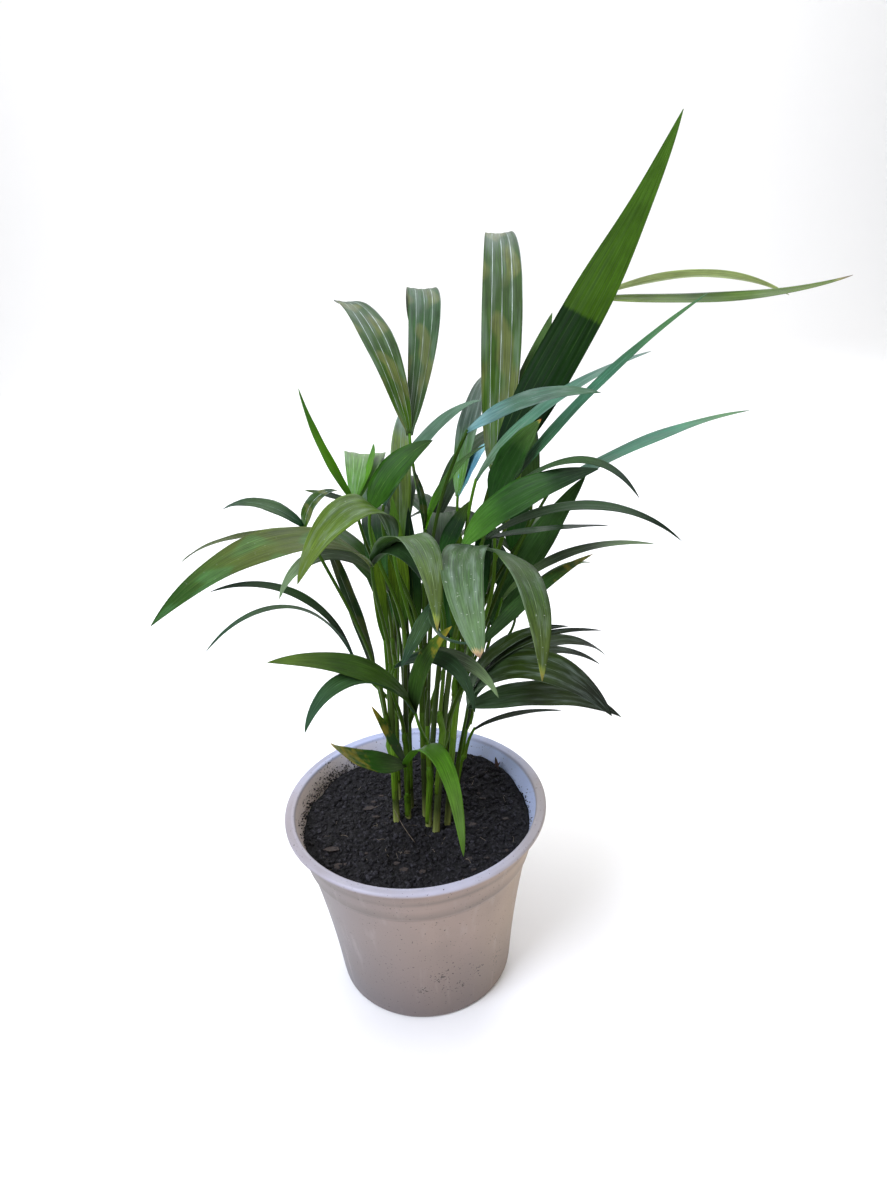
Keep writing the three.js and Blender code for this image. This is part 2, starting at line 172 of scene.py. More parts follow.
def addGrid(bag, grid, slot, across, along, tone):
    # the grid is stations x ring x 3, a closed ring at each station; across and along are its pattern's
    stations, ring = grid.shape[:2]
    start = bag["count"]
    bag["places"].append(grid.reshape(-1, 3))
    bag["count"] += stations * ring
    i, k = np.meshgrid(np.arange(stations - 1), np.arange(ring), indexing="ij")
    after = (k + 1) % ring
    quads = np.stack([i * ring + k, i * ring + after, (i + 1) * ring + after, (i + 1) * ring + k], -1)
    faces = (quads.reshape(-1, 4) + start).tolist()
    u = np.stack([across[k], across[k + 1], across[k + 1], across[k]], -1)
    v = np.stack([along[i], along[i], along[i + 1], along[i + 1]], -1)
    bag["maps"].extend(np.stack([u, v], -1).reshape(-1, 2).tolist())
    for station in (0, stations - 1):
        row = start + station * ring
        for j in range(ring // 2 - 1):
            corners = (j, j + 1, ring - 2 - j, ring - 1 - j)
            faces.append([row + c for c in corners])
            bag["maps"].extend([[across[c], along[station]] for c in corners])
    bag["faces"].extend(faces)
    bag["slots"].extend([slot] * len(faces))
    bag["tones"].extend([tone] * len(faces))


def addTube(bag, points, radii, sides, slot=0, tone=0.5):
    side, up = carriedFrames(points)
    turn = np.linspace(0, fullTurn, sides, endpoint=False)[None, :, None]
    ring = np.cos(turn) * side[:, None] + np.sin(turn) * up[:, None]
    grid = points[:, None] + ring * np.asarray(radii)[:, None, None]
    addGrid(bag, grid, slot, np.linspace(0, 1, sides + 1), np.linspace(0, 1, len(points)), tone)


def makePiece(name, bag, materials):
    mesh = bpy.data.meshes.new(name)
    mesh.from_pydata((np.concatenate(bag["places"]) * mm).tolist(), [], bag["faces"])
    mesh.polygons.foreach_set("material_index", bag["slots"])
    layer = mesh.uv_layers.new(name="pattern")
    layer.uv.foreach_set("vector", np.array(bag["maps"], np.float32).reshape(-1))
    tone = mesh.attributes.new("tone", "FLOAT", "FACE")
    tone.data.foreach_set("value", np.array(bag["tones"], np.float32))
    for material in materials:
        mesh.materials.append(material)
    work = bmesh.new()
    work.from_mesh(mesh)
    bmesh.ops.recalc_face_normals(work, faces=work.faces)
    work.to_mesh(mesh)
    work.free()
    mesh.polygons.foreach_set("use_smooth", [True] * len(mesh.polygons))
    return place(name, mesh)


# Camera: a phone's wide lens, held a little above the plant and slightly rolled
camera = {
    "place": (27.4, -496.6, 530.5),
    "pitchDown": 25.04,  # degrees
    "roll": -3.14,
    "focalPixels": 888,
    "frameHeight": 1182,  # pixels, the longer side
}
view = bpy.data.cameras.new("photoView")
view.sensor_width = 36
view.lens = view.sensor_width * camera["focalPixels"] / camera["frameHeight"]
view.clip_start = 0.01
viewer = place("photoView", view)
aimed = Matrix.Rotation(math.radians(90 - camera["pitchDown"]), 4, "X")
rolled = Matrix.Rotation(math.radians(camera["roll"]), 4, "Z")
viewer.matrix_world = Matrix.Translation(Vector(camera["place"]) * mm) @ aimed @ rolled
bpy.context.scene.camera = viewer

# Studio: a pale sweep with its own lamp, a cool key light high on the left, a weak warm one low on the right
studio = {
    "floorColour": "#f4f3f1",
    "worldColour": "#eef2fb",
    "worldStrength": 0.28,
    "sweepWidth": 6000,
    "sweepFront": -3500,
    "sweepBack": 2200,
    "sweepBend": 900,
    "sweepTop": 3500,
    "lights": (  # name, place, aim, side length, watts, colour
        ("skyPanel", (-1000, -900, 1500), (0, 0, 280), 900, 37, "#e9efff"),
        ("warmPanel", (1200, -900, 600), (0, 0, 200), 900, 4, "#ffe9cf"),
        ("backPanel", (500, 1300, 1500), (0, 0, 300), 900, 10, "#e6edff"),
        ("paperPanel", (0, 700, 2400), (0, 2600, 300), 2600, 80, "#ffffff"),
    ),
}


def makeStudio():
    world = bpy.data.worlds.new("paleRoom")
    bpy.context.scene.world = world
    world.use_nodes = True
    background = world.node_tree.nodes["Background"]
    background.inputs["Color"].default_value = linear(studio["worldColour"])
    background.inputs["Strength"].default_value = studio["worldStrength"]

    # seamless paper: even and matt, so it only gives the pot a soft shadow; its tooth, of about 1 mm,
    # is drawn coarser than real
    paper, tree, where = newMaterial("seamlessPaperMatt")
    tooth = addNode(tree, "TexNoise", {"Vector": where, "Scale": 900.0, "Detail": 2.0})
    finishMaterial(paper, tooth, 0.05, 0.2, {"Base Color": studio["floorColour"], "Roughness": 0.9})

    bend = studio["sweepBend"]
    back = studio["sweepBack"]
    curve = [(back + bend * math.sin(a), bend - bend * math.cos(a)) for a in np.linspace(0, math.pi / 2, 13)]
    outline = [(studio["sweepFront"], 0)] + curve + [(back + bend, studio["sweepTop"])]
    half = studio["sweepWidth"] / 2
    places = [(x, y, z) for y, z in outline for x in (-half, half)]
    faces = [(2 * i, 2 * i + 1, 2 * i + 3, 2 * i + 2) for i in range(len(outline) - 1)]
    sweep = solidMesh("paperSweep", places, faces, [paper], smooth=True)

    for name, stand, aim, side, watts, colour in studio["lights"]:
        lamp = bpy.data.lights.new(name, "AREA")
        lamp.size = side * mm
        lamp.energy = watts
        lamp.color = linear(colour)[:3]
        holder = place(name, lamp)
        holder.location = Vector(stand) * mm
        holder.rotation_euler = (Vector(aim) - Vector(stand)).to_track_quat("-Z", "Y").to_euler()


makeStudio()
bpy.context.scene.view_settings.view_transform = "Standard"
print("camera, sweep and lights ready")


# Pot: one thin moulded shell with a rolled flange, a stepped collar below it and a rounded foot
pot = {
    "height": 140,
    "rimRadius": 90,
    "rimWidth": 6.5,
    "flangeThickness": 3.2,
    "footRadius": 62,
    "shoulderRadius": 77.1,
    "shoulderHeight": 107,
    "collarStep": 1.6,
    "footRounding": 3,
    "wall": 1.8,
    "floor": 3,
    "segments": 144,
    # each painted-light tint: colour, share, and the axis along which it grows from one place to another
    # each splash of soil: x, y, z, reach, share
    "outside": {
        "colour": "#9a867b",
        "dust": 1.0,
        "paintedLightTints": (
            # painted shade darker towards the foot, painted cool shade on the left and painted warm light on
            # the right
            ("#6a5e5b", 0.9, "Z", 84, 8),
            ("#605e64", 0.85, "X", 8, -72),
            ("#a48a66", 0.7, "X", 30, 78),
        ),
        "splashes": ((11, -66, 37, 34, 1.25), (62, -30, 62, 40, 0.55), (48, -50, 30, 34, 0.6)),
    },
    "inside": {
        # the inside's bluish colour is painted skylight
        "colour": "#d0dcfc",
        "dust": 0.15,
        # painted warm bounce light on the inside's left
        "paintedLightTints": (("#d8c8be", 0.9, "X", 0, -70),),
        "splashes": ((-70, 44, 127, 46, 0.8),),
    },
    # the flange top's pale lavender is painted skylight on its upward face
    "rimColour": "#b6b4c4",
    "rimPaintedLight": (
        # painted light on the flange: cooler grey on the left, warmer on the right and bluer skylight at the
        # back
        ("#9f989e", 0.9, "X", 0, -85),
        ("#988e88", 0.9, "X", 45, 88),
        ("#aab6da", 0.8, "Y", 10, 80),
    ),
    "dirtColour": "#352c27",
    "stainColour": "#7b7069",
    "shadeRingColour": "#5f5751",
    "rubbedColour": "#c6bdb6",
    "shadeRings": (  # painted shade: place between the shoulder's foot and the rim, and how dark the shade lies
        (0.2, "#000000"), (0.24, "#a0a0a0"), (0.34, "#d0d0d0"), (0.44, "#909090"), (0.5, "#404040"),
        (0.6, "#303030"), (0.67, "#c0c0c0"), (0.75, "#505050"), (0.93, "#707070"), (1.0, "#000000"),
    ),
    "clinging": 900,  # crumbs left on the wall above the soil
}


def wallRadius(height):
    share = height / pot["shoulderHeight"]
    return pot["footRadius"] + (pot["shoulderRadius"] - pot["footRadius"]) * share * (0.55 + 0.45 * share)


def arcPoints(middle, radius, start, stop, count=6):
    angles = np.radians(np.linspace(start, stop, count))
    return [(middle[0] + radius * math.cos(a), middle[1] + radius * math.sin(a)) for a in angles]


def potOutline():
    rim, top, wall = pot["rimRadius"], pot["height"], pot["wall"]
    under = top - pot["flangeThickness"]
    shoulder, collar = pot["shoulderHeight"], pot["collarStep"]
    foot, rounding = pot["footRadius"], pot["footRounding"]
    widest = wallRadius(shoulder)
    outside = [(foot - rounding - 6, 0)]
    outside += arcPoints((foot - rounding, rounding), rounding, -90, -4)
    outside += [(wallRadius(h), h) for h in np.linspace(8, shoulder - 1.5, 16)]
    outside += [(widest, shoulder - 0.4), (widest + 0.5, shoulder + 0.3)]
    outside += [(widest + collar, shoulder + 1.4), (widest + collar + 0.3, shoulder + 2.6)]
    outside += [(wallRadius(h) + collar * 0.8, h) for h in np.linspace(shoulder + 6, under - 3, 5)]
    outside += arcPoints((wallRadius(under) + collar * 0.6 + 2.2, under - 2.2), 2.2, 180, 90, 5)
    outside += arcPoints((rim - 0.8, under + 0.8), 0.8, -90, 0, 4)
    outside += arcPoints((rim - 1.4, top - 1.4), 1.4, 0, 90, 6)
    inside = [(rim - pot["rimWidth"] + 2.2, top - 0.1)]
    inside += arcPoints((rim - pot["rimWidth"] + 1.2, top - 1.8), 1.6, 80, 170, 5)
    inside += [(wallRadius(h) - wall, h) for h in np.linspace(under - 4, 8, 20)]
    inside += arcPoints((wallRadius(4) - wall - 2, pot["floor"] + 2), 2, 0, -90, 4)
    return outside, inside


def makePot(materials):
    outside, inside = potOutline()
    outline = outside + inside
    segments = pot["segments"]
    places = turned(outline, np.linspace(0, fullTurn, segments, endpoint=False))
    places += [(0, 0, 0), (0, 0, pot["floor"])]
    bands = [int(i >= len(outside)) for i in range(len(outline) - 1)]
    slots = [slot for slot in bands for _ in range(segments)] + [0, 1] * segments
    faces = ringFaces(len(outline), segments)
    seatPiece(solidMesh("potShell", places, faces, materials, slots, smooth=True), "pot", "pot")


def blendedIn(tree, colour, overlay, pattern, low, high, share=1.0):
    # the overlay covers up to its share, where the pattern grows from low to high
    amount = addNode(tree, "MapRange", [pattern, low, high, 0.0, share])
    return addNode(tree, "Mix", {0: amount, 6: colour, 7: overlay}, 2, data_type="RGBA")


def streaksOf(tree, where, stretch, scale, detail=2.0):
    # a cloudy pattern, drawn out or squeezed along each axis
    drawn = addNode(tree, "Mapping", {"Vector": where, "Scale": stretch})
    return addNode(tree, "TexNoise", {"Vector": drawn, "Scale": scale, "Detail": detail})


def withPaintedLight(tree, where, colour, tints):
    # painted light and shade: each tint grows along one axis, over the side or the height where the light
    # falls less or more
    for overlay, share, axis, start, stop in tints:
        side = addNode(tree, "SeparateXYZ", [where], axis)
        colour = blendedIn(tree, colour, overlay, side, start * mm, stop * mm, share)
    return colour


def makePotMaterial(name, skin):
    # polypropylene, injection moulded: satin, a little cloudy, with soil splashed on it and rubbed off; its
    # tints by side and height, its flange top and the rings round its collar are painted light and shade
    material, tree, where = newMaterial(name)
    height = addNode(tree, "SeparateXYZ", [where], "Z")

    # the flange's top is paler and bluer than the wall: painted skylight on its upward face; the wall holds
    # a film of dust
    colour = withPaintedLight(tree, where, skin["colour"], skin["paintedLightTints"])
    rim = withPaintedLight(tree, where, pot["rimColour"], pot["rimPaintedLight"])
    colour = blendedIn(tree, colour, rim, height, 137.2 * mm, 139.0 * mm)
    cloud = addNode(tree, "TexNoise", {"Vector": where, "Scale": 22.0, "Detail": 4.0})  # of 45 mm
    colour = blendedIn(tree, colour, pot["stainColour"], cloud, 0.35, 0.75, 0.5 * skin["dust"])

    # painted shade lies in two soft rings round the collar and darkest in the step at its foot; the rings
    # wander every 70 mm, and the shade is broken into patches 38 mm wide and 13 mm high
    uneven = addNode(tree, "TexNoise", {"Vector": where, "Scale": 14.0, "Detail": 2.0})
    wander = addNode(tree, "Math", [uneven, 4 * mm, height], operation="MULTIPLY_ADD")
    onCollar = addNode(tree, "MapRange", [wander, 98 * mm, 140 * mm, 0.0, 1.0])
    shadeBelt = addNode(tree, "ValToRGB", [onCollar], stops=pot["shadeRings"])
    patches = streaksOf(tree, where, (1.0, 1.0, 3.0), 26.0)
    patchy = addNode(tree, "MapRange", [patches, 0.3, 0.65, 0.45 * skin["dust"], skin["dust"]])
    dust = addNode(tree, "Math", [shadeBelt, patchy], operation="MULTIPLY")
    colour = blendedIn(tree, colour, pot["shadeRingColour"], dust, 0.0, 1.0)

    # rubbed streaks run down the wall, about 6 mm apart and 100 mm long
    streak = streaksOf(tree, where, (1.0, 1.0, 0.06), 160.0, 3.0)
    colour = blendedIn(tree, colour, pot["rubbedColour"], streak, 0.58, 0.78, 0.15)

    # splashed soil: specks of half a millimetre to two, in clusters of 14 mm, and these in splashes
    # half as high as they are wide
    grain = addNode(tree, "TexNoise", {"Vector": where, "Scale": 700.0, "Detail": 2.0})
    clusters = addNode(tree, "TexNoise", {"Vector": where, "Scale": 70.0, "Detail": 3.0})
    patch = addNode(tree, "MapRange", [clusters, 0.45, 0.6, 0.1, 1.0])
    flat = addNode(tree, "Mapping", {"Vector": where, "Scale": (1.0, 1.0, 2.0)})
    amount = 0.1
    for x, y, z, reach, share in skin["splashes"]:
        middle = (x * mm, y * mm, 2 * z * mm)
        away = addNode(tree, "VectorMath", [flat, middle], "Value", operation="DISTANCE")
        near = addNode(tree, "MapRange", [away, 6 * mm, reach * mm, share, 0.0])
        amount = addNode(tree, "Math", [near, amount], operation="ADD")
    amount = addNode(tree, "Math", [amount, patch], operation="MULTIPLY")
    raised = addNode(tree, "Math", [amount, 0.16, grain], operation="MULTIPLY_ADD")
    colour = blendedIn(tree, colour, pot["dirtColour"], raised, 0.69, 0.73)
    roughness = addNode(tree, "MapRange", [cloud, 0.0, 1.0, 0.36, 0.55])
    satin = {"Base Color": colour, "Roughness": roughness, "IOR": 1.49}
    return finishMaterial(material, raised, 0.12, 0.4, satin)


dustyShadedSkin = makePotMaterial("polypropyleneDustyShaded", pot["outside"])
makePot([dustyShadedSkin, makePotMaterial("polypropyleneClean", pot["inside"])])
print("pot ready")


# Soil: a crumbly bed with loose crumbs, bark, pale root hairs and a few bits of straw
soil = {
    "height": 124,
    "crown": 1.5,  # how much higher the bed is in the middle
    "clearance": 0.6,  # to the wall
    "gap": 0.3,  # to the floor
    "rings": 60,
    "sectors": 180,
    "lumps": ((0.045, 2.4), (0.13, 1.5), (0.4, 0.8)),  # how many per millimetre, and how high
    "lumpLayer": 3.7,  # where the noise is cut
    "banks": ((58, 48, 20, 5.0), (-60, 30, 16, -1.5), (30, 62, 16, 3.0)),  # x, y, reach, height
    "crumbs": 5200,
    "crumbSize": (0.5, 2.3),
    "barkBits": 34,
    "knownBark": ((-33.4, 13.1, 5.2), (-56.8, -28.7, 5.6), (38, -12, 4.0), (-8, -52, 3.2)),  # x, y, size
    "rootHairs": 46,
    "bedColour": "#151315",
    "crumbColours": ("#110f11", "#1b191d", "#2d2b31"),
    "fleckColours": ("#3a393d", "#47464b"),  # on the bed and on the crumbs
    "dotColour": "#77716e",
    "moistColour": "#050505",
    "barkColours": ("#211b19", "#3d322d"),
    "hairColours": ("#5f5345", "#8d8070"),
    "twigColours": ("#2c201c", "#4f3c36"),
}
rng = random.Random(11)


def soilLevel(x, y):
    return soil["height"] + soil["crown"] * (1 - (math.hypot(x, y) / wallRadius(soil["height"])) ** 2)


def soilSurface(x, y):
    level = soilLevel(x, y)
    for bankX, bankY, reach, height in soil["banks"]:
        level += height * math.exp(-((x - bankX) ** 2 + (y - bankY) ** 2) / (2 * reach ** 2))
    for perMillimetre, height in soil["lumps"]:
        level += height * noise.noise(Vector((x * perMillimetre, y * perMillimetre, soil["lumpLayer"])))
    return level


def makeSoilMaterial(name, colour, fleck):
    # moist peat and bark: nearly black, matt, with a grain of 2 mm and paler dry flecks under a millimetre
    material, tree, where = newMaterial(name)
    crumb = addNode(tree, "TexNoise", {"Vector": where, "Scale": 520.0, "Detail": 6.0, "Roughness": 0.7})
    stops = [(0.36, soil["moistColour"]), (0.52, colour), (0.74, fleck)]
    mixed = addNode(tree, "ValToRGB", [crumb], stops=stops)
    dots = addNode(tree, "TexNoise", {"Vector": where, "Scale": 1500.0, "Detail": 1.0})
    dotted = blendedIn(tree, mixed, soil["dotColour"], dots, 0.74, 0.8, 0.6)
    matt = {"Base Color": dotted, "Roughness": 0.75, "Specular IOR Level": 0.25}
    return finishMaterial(material, crumb, 0.9, 1.0, matt)


def makeDryMaterial(name, colours, grain=350.0, detail=3.0, spread=(0.35, 0.65), roughness=0.75):
    # dried bark, root and straw: pale, fibrous and matt, with fibres of 3 mm, or of half that in bark
    material, tree, where = newMaterial(name)
    fibres = addNode(tree, "TexNoise", {"Vector": where, "Scale": grain, "Detail": detail})
    shade = addNode(tree, "ValToRGB", [fibres], stops=list(zip(spread, colours)))
    feed(tree, tree.nodes["Principled BSDF"], {"Base Color": shade, "Roughness": roughness})
    return material


def makeSoilBed():
    clearance = pot["wall"] + soil["clearance"]
    bottom = pot["floor"] + soil["gap"]
    rings, sectors = soil["rings"], soil["sectors"]
    edge = wallRadius(soil["height"]) - clearance
    around = np.linspace(0, fullTurn, sectors, endpoint=False)
    stack = [(wallRadius(bottom) - clearance - 1.5, bottom)]
    stack += [(wallRadius(h) - clearance, h) for h in (12, 60, pot["shoulderHeight"])]
    places = turned(stack, around)
    for i in range(rings):
        radius = edge * (1 - i / rings)
        for a in around:
            x, y = radius * math.cos(a), radius * math.sin(a)
            places.append((x, y, soilSurface(x, y)))
    places += [(0, 0, bottom), (0, 0, soilSurface(0, 0))]
    faces = ringFaces(len(stack) + rings, sectors)
    skin = makeSoilMaterial("pottingSoilMoist", soil["bedColour"], soil["fleckColours"][0])
    seatPiece(solidMesh("soilBed", places, faces, [skin], smooth=True), "soil", "soil")


def soilSpot(margin):
    radius = (wallRadius(soil["height"]) - pot["wall"] - margin) * math.sqrt(rng.random())
    angle = rng.uniform(0, fullTurn)
    return radius * math.cos(angle), radius * math.sin(angle)


def crumbShape():
    ball = bmesh.new()
    bmesh.ops.create_icosphere(ball, subdivisions=1, radius=1.0)
    corners = np.array([v.co[:] for v in ball.verts])
    faces = [[v.index for v in f.verts] for f in ball.faces]
    ball.free()
    return corners, faces


def makeCrumbs():
    corners, faces = crumbShape()
    places, allFaces, slots = [], [], []

    def drop(spot, size):
        spin = Matrix.Rotation(rng.uniform(0, anyTurn), 3, "Z")
        turn = spin @ Matrix.Rotation(rng.uniform(-0.7, 0.7), 3, "X")
        stretch = np.array([rng.uniform(0.8, 1.6), rng.uniform(0.6, 1.0), rng.uniform(0.45, 0.9)]) * size
        rough = np.array([rng.uniform(0.75, 1.2) for _ in corners])[:, None]
        start = len(places)
        places.extend((corners * rough * stretch) @ np.array(turn).T + np.array(spot))
        allFaces.extend([start + i for i in f] for f in faces)
        slots.extend([rng.choices((0, 1, 2), (5, 4, 1))[0]] * len(faces))

    low, high = soil["crumbSize"]
    for _ in range(soil["crumbs"]):
        size = low + (high - low) * rng.random() ** 2.6
        x, y = soilSpot(1.5 + size)
        drop((x, y, soilSurface(x, y) + 0.25 * size), size)
    # crumbs cling to the wall above the bed, most of them at the back on the left
    for _ in range(pot["clinging"]):
        angle = math.radians(rng.choice((rng.gauss(150, 22), rng.gauss(150, 22), rng.uniform(0, 360))))
        size = rng.uniform(0.15, 0.6)
        level = min(soil["height"] + abs(rng.gauss(0, 4.5)), 134)
        radius = wallRadius(level) - pot["wall"] - size * 0.8
        drop((radius * math.cos(angle), radius * math.sin(angle), level), size)
    skins = [makeSoilMaterial("soilCrumb" + letter, colour, soil["fleckColours"][1])
             for letter, colour in zip("ABC", soil["crumbColours"])]
    seatPiece(solidMesh("soilCrumbs", places, allFaces, skins, slots), "soil")


def makeBark():
    # shredded bark: flat brown flakes with torn edges
    places, faces = [], []
    loose = soil["barkBits"] - len(soil["knownBark"])
    spots = list(soil["knownBark"]) + [soilSpot(6) + (rng.uniform(1.2, 3.4),) for _ in range(loose)]
    for x, y, size in spots:
        corners = rng.randint(5, 7)
        turn = rng.uniform(0, anyTurn)
        lean = rng.uniform(-0.35, 0.35)
        start = len(places)
        for level in (0.35, 0.35 + rng.uniform(0.5, 1.1)):
            for k in range(corners):
                angle = turn + fullTurn * k / corners
                reach = size * rng.uniform(0.7, 1.1)
                across = reach * math.sin(angle) * 0.6
                along = reach * math.cos(angle)
                places.append((x + along, y + across, soilSurface(x, y) + level + lean * across))
        faces.append([start + k for k in reversed(range(corners))])
        faces.append([start + corners + k for k in range(corners)])
        for k in range(corners):
            after = (k + 1) % corners
            faces.append([start + k, start + after, start + corners + after, start + corners + k])
    skin = makeDryMaterial("barkShredded", soil["barkColours"], 700.0, 4.0, (0.3, 0.7), 0.8)
    seatPiece(solidMesh("barkFlakes", places, faces, [skin]), "soil")


def makeHairs():
    bag = newBag()
    for _ in range(soil["rootHairs"]):
        x, y = soilSpot(9)
        heading = rng.uniform(0, anyTurn)
        length = rng.uniform(2.5, 10)
        path = []
        for _ in range(6):
            path.append((x, y, soilSurface(x, y) + 0.8))
            heading += rng.uniform(-0.5, 0.5)
            x += math.cos(heading) * length / 5
            y += math.sin(heading) * length / 5
        addTube(bag, np.array(path), [rng.uniform(0.06, 0.13)] * 6, 4)
    # one longer rootlet at the back and a dry straw that leans on the canes
    rootlet = bezier([(27, 50, 125.5), (34, 58, 129), (42, 60, 130.5), (52, 64, 129)], 14)
    addTube(bag, rootlet, np.linspace(0.35, 0.15, 14), 5)
    straw = bezier([(-13, -24, 152), (-9, -26, 140), (-1, -27, 126)], 12)
    addTube(bag, straw, np.linspace(0.15, 0.3, 12), 5)
    seatPiece(makePiece("rootHairs", bag, [makeDryMaterial("rootHairDry", soil["hairColours"])]), "soil")

    twig = newBag()
    stub = bezier([(60, 45, 124), (60.3, 45.5, 131), (59, 46, 139)], 8)
    addTube(twig, stub, [1.6, 1.7, 1.5, 1.4, 1.5, 1.2, 0.9, 0.3], 7)
    shoot = bezier([(60, 45, 131), (61.5, 45, 134), (62, 44, 136)], 5)
    addTube(twig, shoot, [0.9, 0.8, 0.6, 0.5, 0.2], 6)
    seatPiece(makePiece("twigStub", twig, [makeDryMaterial("twigBark", soil["twigColours"])]), "soil")


makeSoilBed()
makeCrumbs()
makeBark()
makeHairs()
print("soil ready")


# Leaves: every look starts from living leaf, a waxy satin skin over parallel veins
def leafLook(foot, body, tip, rib, ribs, **more):
    # colours at the foot, along the body and at the tip, the ribs' colour and how strongly they show
    return {"foot": foot, "body": body, "tip": tip, "rib": rib, "ribs": ribs, **more}


def drying(start, yellow, brown):
    # a tip that yellows first and then dries
    return {"dryFrom": start, "dry": (yellow, brown)}


# a patch is painted reflection in broad bands
# each look is a blade's colour as it stood in the light, besides the leaf's own tone:
# the dark looks (deep, shade, dusk, tealDark) are partly painted shade, and the Lit looks (mossLit,
# shadeLit, tealLit) are lit copies of darker ones;
# the sky and blue looks (skyLit, skyBlade, skyDark, blueLit, blueGreen, greyBlue, ribbedBlue) hold painted
# reflection of the sky, and fading's bright foot is painted sunlight;
leafLooks = {
    "bright": leafLook("#346008", "#447808", "#387008", "#88b048", 0.3),
    "fresh": leafLook("#60a80c", "#447028", "#244018", "#80a858", 0.3),
    "fading": leafLook("#38601c", "#204014", "#182c18", "#689850", 0.25),
    "mossLit": leafLook("#3c6814", "#447018", "#486820", "#7c9c50", 0.2),
    "moss": leafLook("#244808", "#204408", "#203c10", "#709844", 0.3),
    "green": leafLook("#1c4410", "#0c2808", "#2c4408", "#6c8850", 0.3),
    "greenYellow": leafLook("#243818", "#304c18", "#486018", "#6c8848", 0.2, yellowing=0.85, yellowFrom=0.9,
                            **drying(0.95, "#90882c", "#807030")),
    "deep": leafLook("#284018", "#284018", "#3c5828", "#54703c", 0.3),
    "deepRed": leafLook("#14300c", "#143408", "#406028", "#507040", 0.25,
                        **drying(0.955, "#8c8830", "#9c4828")),
    "shade": leafLook("#1c2818", "#284020", "#102010", "#5c7458", 0.35),
    "shadeLit": leafLook("#4c6434", "#303c28", "#708860", "#8ca088", 0.35),
    "teal": leafLook("#103018", "#344c2c", "#28402c", "#7ca090", 0.4),
    "tealLit": leafLook("#183420", "#2c4824", "#28442c", "#709878", 0.25),
    "skyBlade": leafLook("#28541c", "#305c44", "#305c2c", "#94b8ac", 0.3, gloss=0.15),
    "greyBlue": leafLook("#34543c", "#385440", "#385840", "#90b0a0", 0.3, bloom=0.15, gloss=0.15),
    "blueGreen": leafLook("#385438", "#38604c", "#486858", "#94b4ac", 0.35, bloom=0.25, gloss=0.3),
    "blueLit": leafLook("#2c5840", "#287050", "#40743c", "#8cb498", 0.2, gloss=0.15),
    "skyDark": leafLook("#507878", "#2c503c", "#285030", "#84a49c", 0.35, bloom=0.25, gloss=0.35),
    "skyLit": leafLook("#5c9890", "#5890a8", "#80b0b4", "#b4d0d4", 0.45, bloom=0.3, gloss=0.4),
    "ribbedOlive": leafLook("#345010", "#284014", "#082c08", "#dce8e8", 0.75, bloom=0.2,
                            patch=("#585c30", 0.6)),
    "ribbedDeep": leafLook("#243c14", "#204018", "#283814", "#d0dcd4", 0.6, bloom=0.15,
                           patch=("#54582c", 0.55)),
    "ribbedBlue": leafLook("#487820", "#385040", "#103c10", "#c8dce4", 0.6, bloom=0.4, gloss=0.45),
    "ribbedFresh": leafLook("#487428", "#64844c", "#789878", "#dce8d8", 0.5, bloom=0.25),
    "wispLeaf": leafLook("#1c2418", "#24301c", "#182c1c", "#4c5c44", 0.2),
    "tealDark": leafLook("#102818", "#20341c", "#20341c", "#547868", 0.3),
    "ribbedShade": leafLook("#587450", "#283810", "#101808", "#8c9c88", 0.35, bloom=0.25),
    # the tall blade's dark foot and body are painted shadow, and its turn colour is the lit part above them
    "tallBlade": leafLook("#082008", "#102808", "#385814", "#88a868", 0.16, gloss=0.05, ragged=0.015,
                          turn=(0.47, "#304c0c")),
    "greyTan": leafLook("#0c2008", "#2c4420", "#4c6440", "#a4b898", 0.25, spots=0.4, bloom=0.3,
                        **drying(0.965, "#a89068", "#886860")),
    "greyGreen": leafLook("#284818", "#304818", "#405020", "#94a884", 0.3, spots=0.25, bloom=0.2,
                          **drying(0.94, "#6c7c30", "#887c38")),
    "olive": leafLook("#788c40", "#384414", "#344818", "#90a468", 0.3, spots=0.15, bloom=0.15),
    "oliveWing": leafLook("#404c18", "#3c4818", "#20400c", "#7c9050", 0.25, spots=0.1,
                          patch=("#407040", 0.3)),
    "oliveYellow": leafLook("#183808", "#405810", "#4c6020", "#98ac68", 0.3, spots=0.15, bloom=0.25),
    "pale": leafLook("#8ca848", "#486028", "#506420", "#b8c498", 0.3, **drying(0.93, "#888850", "#705c3c")),
    "paleDry": leafLook("#b4c48c", "#b0c47c", "#90a060", "#c4cca8", 0.3),
    "duskSpotted": leafLook("#2c4420", "#305020", "#405820", "#688058", 0.3, yellowing=0.5, yellowFrom=0.86,
                            **drying(0.96, "#887434", "#786038")),
    "dusk": leafLook("#345428", "#305020", "#385828", "#5c7850", 0.3),
    "meadow": leafLook("#304c18", "#345018", "#486020", "#648040", 0.25),
    "skyTipped": leafLook("#345410", "#506814", "#3c6460", "#b8d4d8", 0.45, bloom=0.3, gloss=0.25),
    "youngLeaf": leafLook("#345810", "#4c6810", "#44681c", "#88a83c", 0.35),
    "youngOlive": leafLook("#2c4c08", "#0c2808", "#081c08", "#7c9838", 0.3),
    "spotted": leafLook("#344424", "#244814", "#445c08", "#60803c", 0.25, yellowing=0.6,
                        **drying(0.93, "#8c8030", "#785834")),
}
leafSkin = {
    "flutes": 7.0,  # between two main ribs
    "ragged": 0.07,  # how far the streaks carry a colour past its place
    "yellowFrom": 0.74,
    "gloss": 0.12,  # wax, dull between the veins
    "bloomColour": "#93a49a",
    "dropColour": "#b9c4b4",
    "yellowColour": "#98852a",
    "scaleColour": "#4b3c22",
}


